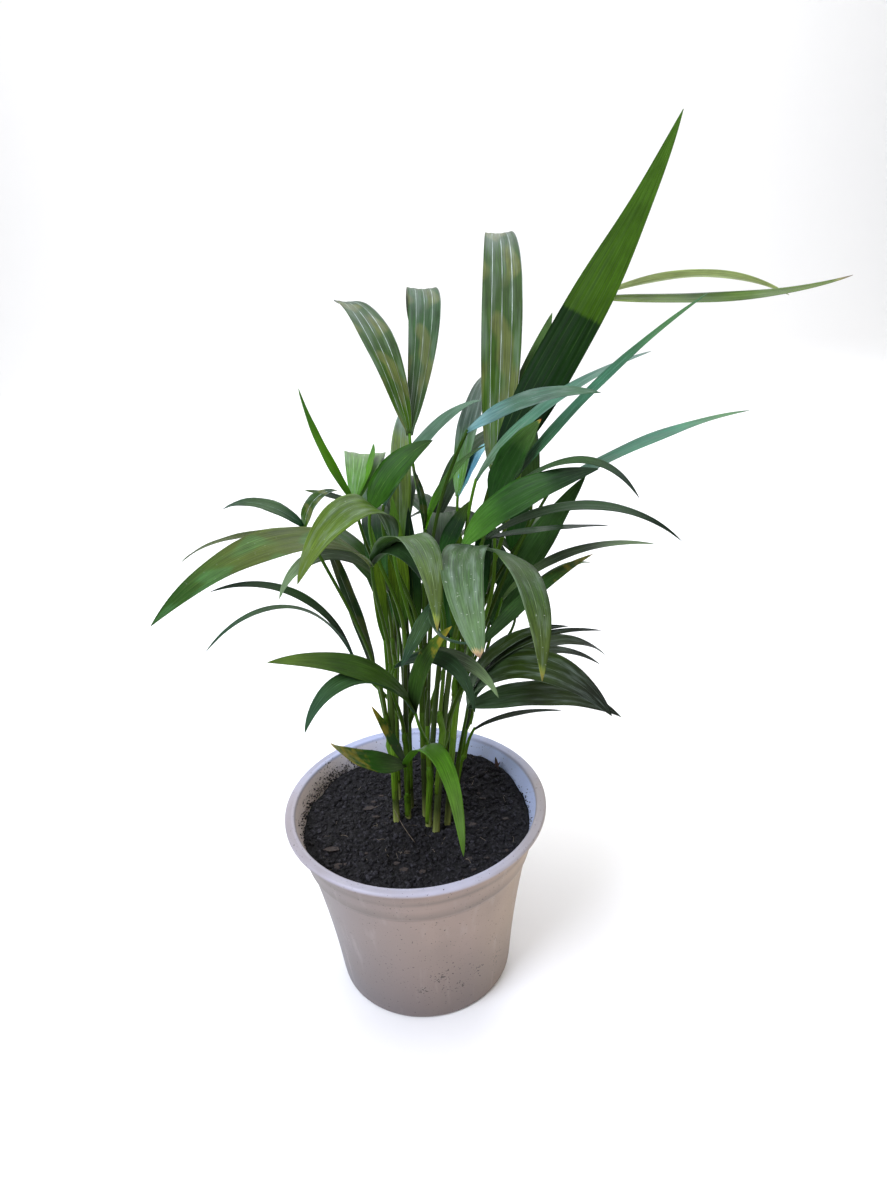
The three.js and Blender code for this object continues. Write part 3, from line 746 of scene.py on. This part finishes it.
def leafStops(look):
    stops = [(0.12, look["foot"]), (0.4, look["body"])]
    if "turn" in look:  # painted shadow: up to this share the blade lies in its neighbours' shadow, and beyond it turns sharply to its lit colour
        start, colour = look["turn"]
        stops += [(start, look["body"]), (start + 0.008, colour)]
    else:
        stops += [(0.62, look["body"]), (0.85, look["tip"])]
    if "dry" in look:
        start, (yellow, brown) = look["dryFrom"], look["dry"]
        stops += [(start, look["tip"]), (start + 0.015, yellow), (start + 0.05, brown)]
    else:
        stops.append((1.0, look["tip"]))
    return [(min(share, 1.0), colour) for share, colour in stops]


def patternOf(tree):
    # the sheet's own coordinates, drawn across and along a blade or stalk
    sheet = addNode(tree, "UVMap", uv_map="pattern")
    return sheet, addNode(tree, "SeparateXYZ", [sheet], "X"), addNode(tree, "SeparateXYZ", [sheet], "Y")


def toned(tree, colour, levels, low, high):
    # each leaf and cane carries a tone of its own
    own = addNode(tree, "Attribute", out="Fac", attribute_name="tone")
    tone = addNode(tree, "MapRange", [own, 0.0, 1.0, low, high])
    amount = addNode(tree, "Math", [levels, tone], operation="MULTIPLY")
    return addNode(tree, "VectorMath", {0: colour, "Scale": amount}, operation="SCALE")


def makeLeafMaterial(name, look):
    # living leaf: satin and a little waxy, so it takes a soft highlight broken by its veins
    material, tree, where = newMaterial(name)
    sheet, acrossIt, alongIt = patternOf(tree)
    streak = streaksOf(tree, sheet, (3.2, 2.6, 1.0), 2.2, 4.0)  # 1 mm wide, a sixth as long as the blade
    ragged = look.get("ragged", leafSkin["ragged"])
    middle = addNode(tree, "Math", [alongIt, ragged / 2], operation="SUBTRACT")
    along = addNode(tree, "Math", [streak, ragged, middle], operation="MULTIPLY_ADD")
    colour = addNode(tree, "ValToRGB", [along], stops=leafStops(look))
    if "patch" in look:  # painted reflection: broad bands of light caught from around, warm on the ribbed blades and cool on the wing
        reflectedColour, share = look["patch"]
        bands = streaksOf(tree, sheet, (0.3, 5.0, 1.0), 1.0, 1.0)
        colour = blendedIn(tree, colour, reflectedColour, bands, 0.49, 0.55, share)

    # main ribs stand at whole numbers across the blade; the fine veins between them are drawn about
    # 1 mm apart, coarser than real, so that they show
    column = addNode(tree, "Math", [streak, 0.05, acrossIt], operation="MULTIPLY_ADD")
    veins = addNode(tree, "Math", [column, leafSkin["flutes"]], operation="MULTIPLY")
    veinAway = addNode(tree, "Math", [veins, 0.5], operation="PINGPONG")
    # partly the leaf's own uneven tone; the blotches are tone alone
    # the flutes and the lengthwise streaks are partly painted highlight along the veins and shade between
    # them,
    fluted = addNode(tree, "MapRange", [veinAway, 0.0, 0.5, 1.2, 0.78])
    streaks = addNode(tree, "MapRange", [streak, 0.3, 0.7, 0.6, 1.38])
    blotch = addNode(tree, "TexNoise", {"Vector": where, "Scale": 65.0, "Detail": 2.0})  # of 15 mm
    blotches = addNode(tree, "MapRange", [blotch, 0.3, 0.7, 0.82, 1.18])
    shades = addNode(tree, "Math", [streaks, blotches], operation="MULTIPLY")
    levels = addNode(tree, "Math", [shades, fluted], operation="MULTIPLY")
    colour = toned(tree, colour, levels, 0.6, 1.4)

    ribAway = addNode(tree, "Math", [column, 0.5], operation="PINGPONG")
    narrow = addNode(tree, "MapRange", [ribAway, 0.01, 0.038, 1.0, 0.0])
    broken = streaksOf(tree, sheet, (2.0, 9.0, 1.0), 1.3)
    faint = addNode(tree, "MapRange", [broken, 0.38, 0.62, 0.15 * look["ribs"], look["ribs"]])
    rib = addNode(tree, "Math", [narrow, faint], operation="MULTIPLY")
    colour = blendedIn(tree, colour, look["rib"], rib, 0.0, 1.0)

    if "bloom" in look:  # painted sheen: the sky's reflection drawn as long pale patches
        sheenPatches = streaksOf(tree, sheet, (0.8, 3.0, 1.0), 1.7, 3.0)
        colour = blendedIn(tree, colour, leafSkin["bloomColour"], sheenPatches, 0.48, 0.72, look["bloom"])
    if "spots" in look:  # dried water, in dots of a millimetre
        drops = addNode(tree, "TexNoise", {"Vector": where, "Scale": 640.0, "Detail": 1.0})
        colour = blendedIn(tree, colour, leafSkin["dropColour"], drops, 0.7, 0.77, look["spots"])
    if "yellowing" in look:  # chlorosis: yellow islands of 6 mm that grow towards the tip
        islands = addNode(tree, "TexNoise", {"Vector": where, "Scale": 160.0, "Detail": 4.0})
        growing = addNode(tree, "Math", [alongIt, 0.5, islands], operation="MULTIPLY_ADD")
        start, yellow = look.get("yellowFrom", leafSkin["yellowFrom"]), leafSkin["yellowColour"]
        colour = blendedIn(tree, colour, yellow, growing, start, start + 0.2, look["yellowing"])
    veined = addNode(tree, "Math", [streak, fluted], operation="ADD")
    height = addNode(tree, "Math", [rib, 1.5, veined], operation="MULTIPLY_ADD")
    wax = {"Base Color": colour, "IOR": 1.45, "Specular IOR Level": look.get("gloss", leafSkin["gloss"])}
    wax["Roughness"] = addNode(tree, "MapRange", [streak, 0.3, 0.7, 0.34, 0.5])
    return finishMaterial(material, height, 0.4, 0.35, wax)


def makeStalkMaterial(name, *stops):
    # living stalk: smooth and satin, ribbed lengthwise, with a bloom of brown scales of 1 mm
    material, tree, where = newMaterial(name)
    sheet, _, alongIt = patternOf(tree)
    streak = streaksOf(tree, sheet, (9.0, 1.2, 1.0), 3.0, 3.0)
    levels = addNode(tree, "MapRange", [streak, 0.3, 0.7, 0.6, 1.35])
    colour = toned(tree, addNode(tree, "ValToRGB", [alongIt], stops=stops), levels, 0.35, 1.5)
    scales = addNode(tree, "TexNoise", {"Vector": where, "Scale": 900.0, "Detail": 1.0})
    colour = blendedIn(tree, colour, leafSkin["scaleColour"], scales, 0.68, 0.75, 0.5)
    satin = {"Base Color": colour, "Roughness": 0.4, "IOR": 1.45, "Specular IOR Level": 0.1}
    return finishMaterial(material, streak, 0.3, 0.3, satin)


lookNames = list(leafLooks)
leafMaterials = [makeLeafMaterial("leaf" + n[0].upper() + n[1:], leafLooks[n]) for n in lookNames]
caneSkin = makeStalkMaterial(
    "caneLiving", (0.0, "#969a5c"), (0.07, "#788244"), (0.17, "#3e4a22"), (0.5, "#30401c"), (1.0, "#384c14"))
strandSkin = makeStalkMaterial("caneAged", (0.0, "#3a4622"), (0.3, "#2c3a1c"), (1.0, "#2c3f1c"))
stalkSkin = makeStalkMaterial("stalkLiving", (0.0, "#4c641a"), (0.3, "#3c5810"), (1.0, "#385c0e"))
sheathSkin = makeStalkMaterial("sheathPapery", (0.0, "#4d6618"), (0.5, "#4a6a18"), (1.0, "#406014"))
print("leaf materials ready:", len(leafMaterials))


# The plant: canes stand in the soil, and each frond leaves its cane at a height, or at its top (None)
canes = [
    {"foot": (-14, -3), "top": (-9, -6, 244), "radius": (2.3, 1.6)},
    {"foot": (-6, 0), "top": (1, 4, 258), "radius": (2.1, 1.5)},
    {"foot": (-4, 9), "top": (2, 19, 256), "radius": (2.0, 1.5)},
    {"foot": (6, 2), "top": (11, 4, 256), "radius": (2.0, 1.5)},
    {"foot": (8, -10), "top": (24, -9, 264), "radius": (2.2, 1.6)},
    {"foot": (13, -16), "top": (31, -20, 268), "radius": (2.4, 1.7)},
    {"foot": (21, -9), "top": (39, 0, 263), "radius": (2.2, 1.6)},
    {"foot": (14, 22), "top": (53, 24, 265), "radius": (2.2, 1.6)},
    {"foot": (26, 4), "top": (31, 3, 168), "radius": (2.0, 1.6)},
    {"foot": (7, 33), "top": (19, 50, 268), "radius": (2.1, 1.5)},
    {"foot": (14, 34), "top": (63, 52, 295), "radius": (2.1, 1.5)},
    {"foot": (-13, 22), "top": (-6, 46, 270), "radius": (1.6, 1.4)},
    {"foot": (28, 14), "top": (45, 15, 222), "radius": (1.4, 1.2)},
]
# A lobe sets out at a turn from +X and a rise from level, droops and bends on the way to its tip,
# and is rolled about its own rib; all angles in degrees
strap = {"peak": 1.2, "full": 0.5}
blunt = {"peak": 0.8, "full": 0.5}
tongue = {"peak": 0.55, "full": 0.6}


def lobe(look, turn, rise, droop, long, wide, bend=0, roll=0, bow=1.4, peak=0.75, full=0.8):
    return {"look": look, "turn": turn, "rise": rise, "droop": droop, "long": long, "wide": wide,
            "bend": bend, "roll": roll, "bow": bow, "peak": peak, "full": full}


def frond(name, cane, at, heart, lobes, closer=0):
    return {"name": name, "cane": cane, "at": at, "heart": heart, "lobes": lobes, "closer": closer}


fronds = [
    frond("tall", 8, None, (63, 25, 364), [
        lobe("tallBlade", 24, 56, -14, 222, 34, bend=-34, roll=-30, bow=2.2),
        lobe("ribbedOlive", 76, 59, 103, 264, 26, bend=17, roll=-2, bow=2.2, **blunt),
        lobe("deep", 57, 45, -3, 116, 17, roll=-25),
    ]),
    frond("striped", 8, 235, (40, 56, 340), [
        lobe("ribbedBlue", 64, 65, 82, 128, 23, bend=14, roll=35),
        lobe("skyLit", 19, 68, 34, 43, 14, bend=3, roll=-5),
    ], closer=0.8),
    frond("ribbon", 7, 225, (50, 5, 367), [lobe("blueGreen", 12, 55, 43, 129, 14, roll=-5, bow=0.8)]),
    frond("olive", 4, 230, (45, -19, 403), [lobe("skyDark", -13, 34, 42, 77, 13, bend=-3, roll=-30)]),
    frond("swift", 7, None, (58, -15, 358), [
        lobe("deepRed", 10, 68, 24, 56, 27, bend=2, roll=-15),
        lobe("skyBlade", 2, 51, 18, 161, 12, bend=-2, roll=-10),
        lobe("shade", -42, 43, 63, 140, 6, bend=-38, roll=-30),
    ]),
    frond("far", 11, None, (124, 56, 460), [
        lobe("pale", -2, -4, -20, 154, 12, bend=-3, roll=-20, bow=2.2),
        lobe("paleDry", 3, 16, 45, 128, 10, bend=3, roll=35),
    ]),
    frond("sky", 8, 258, (99, 40, 347), [lobe("blueLit", 17, 20, 21, 155, 19, bend=7, roll=5)]),
    frond("broad", 7, 250, (39, -42, 344), [
        lobe("fading", -19, 59, 49, 89, 22, bend=14, roll=-35, bow=0.8),
    ]),
    frond("shade", 13, None, (57, 35, 256), [lobe("dusk", 14, 57, 6, 117, 26, bend=-1, roll=-20)]),
    frond("reach", 8, 236, (54, 3, 331), [
        lobe("shade", -9, 32, 75, 125, 10, bend=-9, roll=-15),
        lobe("shade", 30, -6, 7, 100, 10),
    ], closer=0.7),
    frond("thin", 13, 190, (65, 22, 280), [
        lobe("shadeLit", 3, 54, 63, 108, 10, bend=-7, roll=-10, bow=0.8),
    ]),
    frond("slip", 6, 200, (49, -2, 260), [lobe("duskSpotted", 23, 40, 32, 97, 11, bend=5, roll=-20)]),
    frond("drape", 6, None, (49.5, -55, 349), [
        lobe("greyTan", -110, 25, 60, 129, 21, bend=32, **blunt),
        lobe("greyGreen", -65, 14, 53, 123, 19, bend=-33, roll=25),
    ]),
    frond("wing", 1, None, (-12, -39, 335), [
        lobe("oliveWing", 229, 57, 92, 146, 25, bend=-13, roll=15, bow=0.8),
        lobe("greyGreen", -53, 46, 94, 137, 19, bend=-38, roll=7),
        lobe("shade", -59, 47, 95, 79, 10, bend=-5, roll=-25),
    ]),
    frond("hook", 4, 235, (0, -25, 341), [
        lobe("oliveYellow", 250, 90, 147, 113, 21, bend=-20, roll=22, bow=0.8),
    ]),
    frond("reed", 1, 200, (-50, -18, 352), [
        lobe("teal", 174, 44, 75, 53, 12, bend=-5, roll=10),
        lobe("olive", 189, -2, 41, 82, 9, bend=-30, bow=2.2),
        lobe("ribbedOlive", 32, 78, 93, 32, 13, bend=-13, roll=-5),
    ]),
    frond("spear", 12, 235, (-23, 10, 355), [
        lobe("bright", 174, 62, -19, 75, 9, bend=8, roll=20),
        lobe("ribbedFresh", 81, 26, 112, 144, 28, bend=25, roll=-5, **strap),
        lobe("bright", 68, 25, 15, 63, 9, bend=24, roll=40),
        lobe("green", 205, 30, 11, 33, 8, bend=1, roll=15),
    ]),
    frond("bright", 2, None, (-12, -15, 359), [lobe("moss", 11, 62, 45, 55, 19, bend=3, roll=-35)]),
    frond("grey", 4, None, (-5, -4, 357), [lobe("greyBlue", 29, 56, 68, 105, 11, bend=23, roll=-5)]),
    frond("twin", 10, None, (12, 32, 389), [
        lobe("ribbedOlive", 117, 64, 79, 140, 24, bend=-5, roll=-10, **strap),
        lobe("ribbedDeep", 73, 43, 106, 219, 22, bend=32, roll=-5, bow=2.2, **strap),
    ]),
    frond("strap", 3, None, (1, 25, 310), [
        lobe("skyTipped", 88, 48, 58, 160, 16, roll=-30),
        lobe("youngOlive", 81, 45, 90, 122, 12, bend=9, **strap),
    ]),
    frond("inner", 4, 215, (18, 10, 336), [
        lobe("ribbedDeep", 121, 91, 38, 40, 9, bend=3, roll=-30),
        lobe("fresh", 24, 68, 58, 67, 10, bend=8, roll=5),
    ]),
    frond("knot", 5, None, (27, -2, 323), [
        lobe("shade", 88, 30, 119, 101, 20, bend=1, **blunt),
        lobe("green", 21, 58, 7, 37, 12, bend=13, roll=-25),
    ]),
    frond("lowleft", 5, 170, (7, -54, 246), [
        lobe("meadow", 207, 75, 79, 101, 20, bend=-26, roll=15, bow=0.8),
        lobe("tealLit", 197, 67, 125, 98, 14, bend=42, roll=15),
        lobe("greenYellow", -15, 95, 50, 66, 12, roll=-60, bow=0.8),
    ]),
    frond("foot", 2, 145, (-3, -20, 185), [
        lobe("spotted", 200, 18, -43, 63, 20, bend=19, roll=15),
        lobe("spotted", 168, 66, 4, 47, 9, bend=-9, roll=10),
        lobe("mossLit", -58, 55, 113, 139, 13, bend=-29, roll=-5, **tongue),
    ]),
    frond("teal", 6, 215, (24, -28, 307), [
        lobe("teal", 247, -15, 15, 54, 11, bend=-7, roll=-5),
        lobe("teal", -108, -4, -25, 79, 8, bend=60, roll=50),
    ]),
    frond("curl", 2, 190, (-5.5, -20, 258), [
        lobe("shadeLit", -17, 35, 99, 80, 12, bend=-20, roll=-20),
        lobe("tealDark", -27, 36, 76, 92, 11, bend=-56, roll=-20),
    ]),
    frond("sweep", 3, 185, (-32, 0, 256), [
        lobe("shade", 198, 73, 86, 113, 8, bend=1, roll=25),
        lobe("teal", 227, 68, 104, 132, 6, bend=-1, roll=10),
    ]),
    frond("lean", 1, 185, (-20, 1, 246), [lobe("ribbedDeep", 156, 76, 7, 95, 13, bend=-3, **blunt)]),
    frond("arch", 3, 215, (-7, 14, 293), [lobe("shadeLit", 194, 66, 127, 98, 12, bend=38, roll=30)]),
    frond("pinnate", 9, None, (39, -8, 219), [
        lobe("ribbedShade", 4, 93, 92, 95, 14, bend=-14, roll=-10, bow=0.8),
        lobe("ribbedShade", -7, 84, 91, 111, 9, bend=1, roll=-10, bow=0.8),
        lobe("ribbedShade", 13, 77, 126, 125, 14, bend=14, roll=-15, bow=0.8),
        lobe("ribbedShade", 4, 60, 97, 102, 12, bend=-17, roll=-5),
        lobe("ribbedShade", -25, 81, 116, 127, 27, bend=-26, roll=-20, bow=0.8),
        lobe("ribbedShade", -4, 18, 58, 104, 22, bend=1, roll=-15),
    ]),
    frond("wisp", 13, 165, (43, 9, 190), [lobe("wispLeaf", 4, 30, 40, 62, 6, bow=0.8)]),
    frond("rear_high", 12, None, (24, 80, 313.5), [
        lobe("green", 108, 16, 118, 150, 24, bend=3, roll=-10),
        lobe("shade", 48, 56, 107, 145, 25, roll=10),
    ]),
    frond("rear_left", 12, 205, (-15, 63, 271), [
        lobe("green", 94, 46, 97, 135, 22),
        lobe("deep", 128, 40, 100, 140, 23, roll=-10),
    ]),
    frond("rear_right", 11, 235, (78, 76, 289), [
        lobe("green", 80, 68, 120, 145, 24),
        lobe("deep", 152, 44, 115, 120, 19, roll=-5),
    ]),
    frond("rear_fan", 11, 265, (89, 62, 330), [
        lobe("deep", 100, 66, 116, 140, 22),
        lobe("green", 88, 50, 60, 113, 16),
    ]),
    frond("rear_low", 10, 180, (31, 73, 226), [
        lobe("deep", 48, 50, 104, 120, 20),
        lobe("green", 88, 52, 112, 125, 20),
        lobe("shade", 130, 48, 104, 110, 18),
    ]),
    frond("rear_drop", 12, 180, (-7, 64, 240), [
        lobe("green", 86, 56, 110, 120, 18),
        lobe("deep", 110, 50, 100, 120, 20),
    ]),
    frond("rear_side", 11, 190, (77, 62, 246), [
        lobe("deep", 68, 58, 96, 125, 21),
        lobe("green", 110, 60, 107, 118, 19, roll=-5),
        lobe("deep", 38, 38, 64, 87, 12, bend=3),
    ]),
    frond("young_a", 2, 200, (0, 12, 268), [lobe("youngLeaf", 95, 86, 6, 87, 13)]),
    frond("young_b", 3, 200, (8, 14, 262), [lobe("youngOlive", 87, 86, 5, 85, 11)]),
    frond("young_c", 1, 200, (-11.5, 0, 266), [lobe("youngLeaf", 105, 84, 6, 75, 9, roll=-10)]),
    frond("young_d", 7, 200, (35.5, 4, 262), [lobe("youngLeaf", 78, 83, 8, 82, 12)]),
    frond("young_e", 8, 200, (50, 30, 268), [lobe("green", 60, 78, 10, 90, 13)]),
]

blade = {
    "foot": 0.2,  # least width towards the foot, as a share of the full width
    "tip": 0.012,  # least width anywhere
    "stationLength": 3.4,
    "stations": (12, 64),
    "ribSpacing": 6.5,  # between two main ribs
    "columns": 8,  # to each pleat
    "skin": 0.34,
    "edge": 0.2,  # thickness at the margin
    "ribThickness": (1.5, 0.35),  # at the foot and at the tip
    "ribReach": 0.9,
    "ribOver": 0.15,  # share of the rib that stands over the skin, and the share under it
    "ribUnder": 0.7,
    "tipSkin": 0.3,  # share of the thickness left at the tip
    "tipLength": 0.05,
    "keel": 0.12,  # how steeply both halves rise from the midrib
    "pleat": 0.035,  # depth of a pleat and height of a wave, as shares of the half width
    "wave": 0.035,
    "waves": (2.2, 3.6),  # how many run along a blade
    "tones": (0.35, 0.65),
}
stalk = {
    "foot": 1.4,
    "tip": 0.95,
    "rise": 0.4,
    "spread": 0.3,
    "gap": 0.3,
    "sides": 9,
    "stations": 22,
    "tones": (0.1, 0.9),
}
cane = {
    "sides": 14,
    "stations": 120,
    "bendShare": 0.4,
    "upright": 0.15,
    "ringSpacing": 17,
    "ring": (0.06, 0.7),  # height and half width
    "ringsUpTo": 0.75,
    "flare": (0.25, 7),  # how much thicker the foot is, and how fast that ends
    "sunk": 5,
    "sheath": 42,
    "sheathSides": 12,
    "strand": 1.5,
    "tones": (0.1, 0.9),
}
plantRng = random.Random(29)


def lobeForward(spec, share):
    heading = np.radians(spec["turn"] + spec["bend"] * share)
    pitch = np.radians(spec["rise"] - spec["droop"] * share ** spec["bow"])
    return np.stack([np.cos(pitch) * np.cos(heading), np.cos(pitch) * np.sin(heading), np.sin(pitch)], -1)


def lobeFrames(heart, spec, stations):
    fine = (stations - 1) * 3
    middles = (np.arange(fine) + 0.5) / fine
    path = np.concatenate([[np.zeros(3)], np.cumsum(lobeForward(spec, middles) * spec["long"] / fine, 0)])
    points = path[::3] + np.array(heart, float)
    shares = np.linspace(0, 1, stations)
    heading = np.radians(spec["turn"] + spec["bend"] * shares)
    side = np.stack([np.sin(heading), -np.cos(heading), 0 * heading], -1)
    up = np.cross(side, lobeForward(spec, shares))
    roll = math.radians(spec["roll"])
    cosine, sine = math.cos(roll), math.sin(roll)
    return points, side * cosine + up * sine, up * cosine - side * sine, shares


def addBlade(bag, heart, spec):
    low, high = blade["stations"]
    stations = int(np.clip(spec["long"] / blade["stationLength"], low, high))
    points, side, up, shares = lobeFrames(heart, spec, stations)
    half = spec["wide"] / 2
    outline = np.sin(np.pi * np.minimum(shares, 0.9999) ** spec["peak"]) ** spec["full"]
    outline = np.maximum(outline, blade["foot"] * (1 - shares))
    reach = half * np.maximum(outline, blade["tip"])[:, None]
    pleats = max(1, round(half / blade["ribSpacing"]))
    across = np.linspace(-1, 1, blade["columns"] * pleats + 1)[None]
    ribAway = np.abs(across * pleats - np.round(across * pleats))
    phase = plantRng.uniform(0, anyTurn)
    swell = np.sin(fullTurn * shares * plantRng.uniform(*blade["waves"]) + phase)[:, None]
    x = across * reach
    height = np.abs(x) * blade["keel"] + (0.5 - 2 * ribAway) * blade["pleat"] * reach
    height = height + blade["wave"] * reach * swell * across * np.abs(across)

    skin = blade["skin"] + (blade["edge"] - blade["skin"]) * np.abs(across)
    thick, thin = blade["ribThickness"]
    rib = (thick + (thin - thick) * shares)[:, None] * np.exp(-(x / blade["ribReach"]) ** 2)
    ending = np.minimum(1, (1 - shares) / blade["tipLength"])[:, None]
    left = blade["tipSkin"] + (1 - blade["tipSkin"]) * ending
    top = points[:, None] + x[..., None] * side[:, None] + height[..., None] * up[:, None]
    under = top - ((skin + rib * blade["ribUnder"]) * left)[..., None] * up[:, None]
    top = top + (rib * blade["ribOver"])[..., None] * up[:, None]
    grid = np.concatenate([top, under[:, ::-1]], 1)
    coordinate = np.concatenate([across[0], across[0][::-1], across[0][:1]]) * pleats
    addGrid(bag, grid, lookNames.index(spec["look"]), coordinate, shares, plantRng.uniform(*blade["tones"]))


def caneControls(spec, sunk=0):
    x, y = spec["foot"]
    start = np.array([x, y, soilLevel(x, y) + stalk["gap"]])
    end = np.array(spec["top"], float)
    middle = start + (end - start) * cane["bendShare"]
    middle[2] += cane["upright"] * (end[2] - start[2])
    return [start - (0, 0, sunk), middle, end]


def caneRadius(spec, share):
    thick, slim = spec["radius"]
    return thick + (slim - thick) * share


def addCane(bag, spec):
    points = bezier(caneControls(spec, cane["sunk"]), cane["stations"])
    length = np.linalg.norm(np.diff(points, axis=0), axis=1).sum()
    shares = np.linspace(0, 1, len(points))
    spacing = cane["ringSpacing"] * plantRng.uniform(0.8, 1.2)
    away = np.abs(((shares * length + plantRng.uniform(0, 10)) / spacing + 0.5) % 1 - 0.5) * spacing
    high, halfWidth = cane["ring"]
    thicker, fading = cane["flare"]
    radii = caneRadius(spec, shares) + high * np.exp(-(away / halfWidth) ** 2) * (shares < cane["ringsUpTo"])
    radii = radii + thicker * np.exp(-shares * length / fading)
    addTube(bag, points, radii, cane["sides"], tone=plantRng.uniform(*cane["tones"]))


def addStalk(bag, spec):
    body = canes[spec["cane"] - 1]
    heart = np.array(spec["heart"], float)
    spread = unit(sum(lobeForward(one, np.array(0.0)) for one in spec["lobes"]) + (0, 0, len(spec["lobes"])))
    line = bezier(caneControls(body), 160)
    if spec["at"]:
        i = int(np.searchsorted(line[:, 2], spec["at"]))
        upward = unit(line[i + 1] - line[i - 1])
        outward = heart - line[i]
        outward = unit(outward - upward * (outward @ upward))
        away = caneRadius(body, i / (len(line) - 1)) + stalk["foot"] + stalk["gap"] - spec["closer"]
        start = line[i] + outward * away
    else:
        upward = unit(line[-1] - line[-2])
        start = line[-1] + upward * stalk["gap"]
    reach = np.linalg.norm(heart - start)
    controls = [start, start + upward * reach * stalk["rise"]]
    controls += [heart - spread * reach * stalk["spread"], heart + spread * stalk["tip"]]
    points = bezier(controls, stalk["stations"])
    radii = np.linspace(stalk["foot"], stalk["tip"], len(points))
    tone = plantRng.uniform(*stalk["tones"])
    if spec["at"]:
        # the leaf's foot wraps its cane as a sheath and leaves it as the stalk
        low = max(int(np.searchsorted(line[:, 2], spec["at"] - cane["sheath"])), 2)
        wrap = line[low:max(i - 6, low + 3):2]
        shares = np.linspace(low, i, len(wrap)) / (len(line) - 1)
        wrapRadii = caneRadius(body, shares) + np.linspace(0.04, 0.4, len(wrap))
        wrapRadii = np.concatenate([wrapRadii, [stalk["foot"] * 1.1, stalk["foot"]]])
        sleeve = evenly(np.concatenate([wrap, points[1:3]]), 16)
        sleeveRadii = np.interp(np.linspace(0, 1, 16), np.linspace(0, 1, len(wrapRadii)), wrapRadii)
    else:
        sleeve = evenly(np.concatenate([line[-26:], points[:3]]), 14)
        sleeveRadii = np.linspace(caneRadius(body, 1) + 0.06, stalk["foot"], 14)
    addTube(bag, sleeve, sleeveRadii, cane["sheathSides"], sheathSlot, tone)
    addTube(bag, points, radii, stalk["sides"], stalkSlot, tone)


def pieceName(kind, name):
    return kind + "".join(part.capitalize() for part in name.split("_"))


plantMaterials = leafMaterials + [stalkSkin, sheathSkin]
stalkSlot = len(leafMaterials)
sheathSlot = stalkSlot + 1
for number, spec in enumerate(canes, 1):
    bag = newBag()
    addCane(bag, spec)
    skin = caneSkin if spec["radius"][0] > cane["strand"] else strandSkin
    seatPiece(makePiece(f"cane{number:02d}", bag, [skin]), "cane", f"cane_{number:02d}")
print("canes ready:", len(canes))

for spec in fronds:
    bag = newBag()
    addStalk(bag, spec)
    for one in spec["lobes"]:
        addBlade(bag, spec["heart"], one)
    used = sorted(set(bag["slots"]))
    bag["slots"] = [used.index(s) for s in bag["slots"]]
    piece = makePiece(pieceName("frond", spec["name"]), bag, [plantMaterials[s] for s in used])
    seatPiece(piece, "frond", "frond_" + spec["name"])
print("fronds ready:", len(fronds))
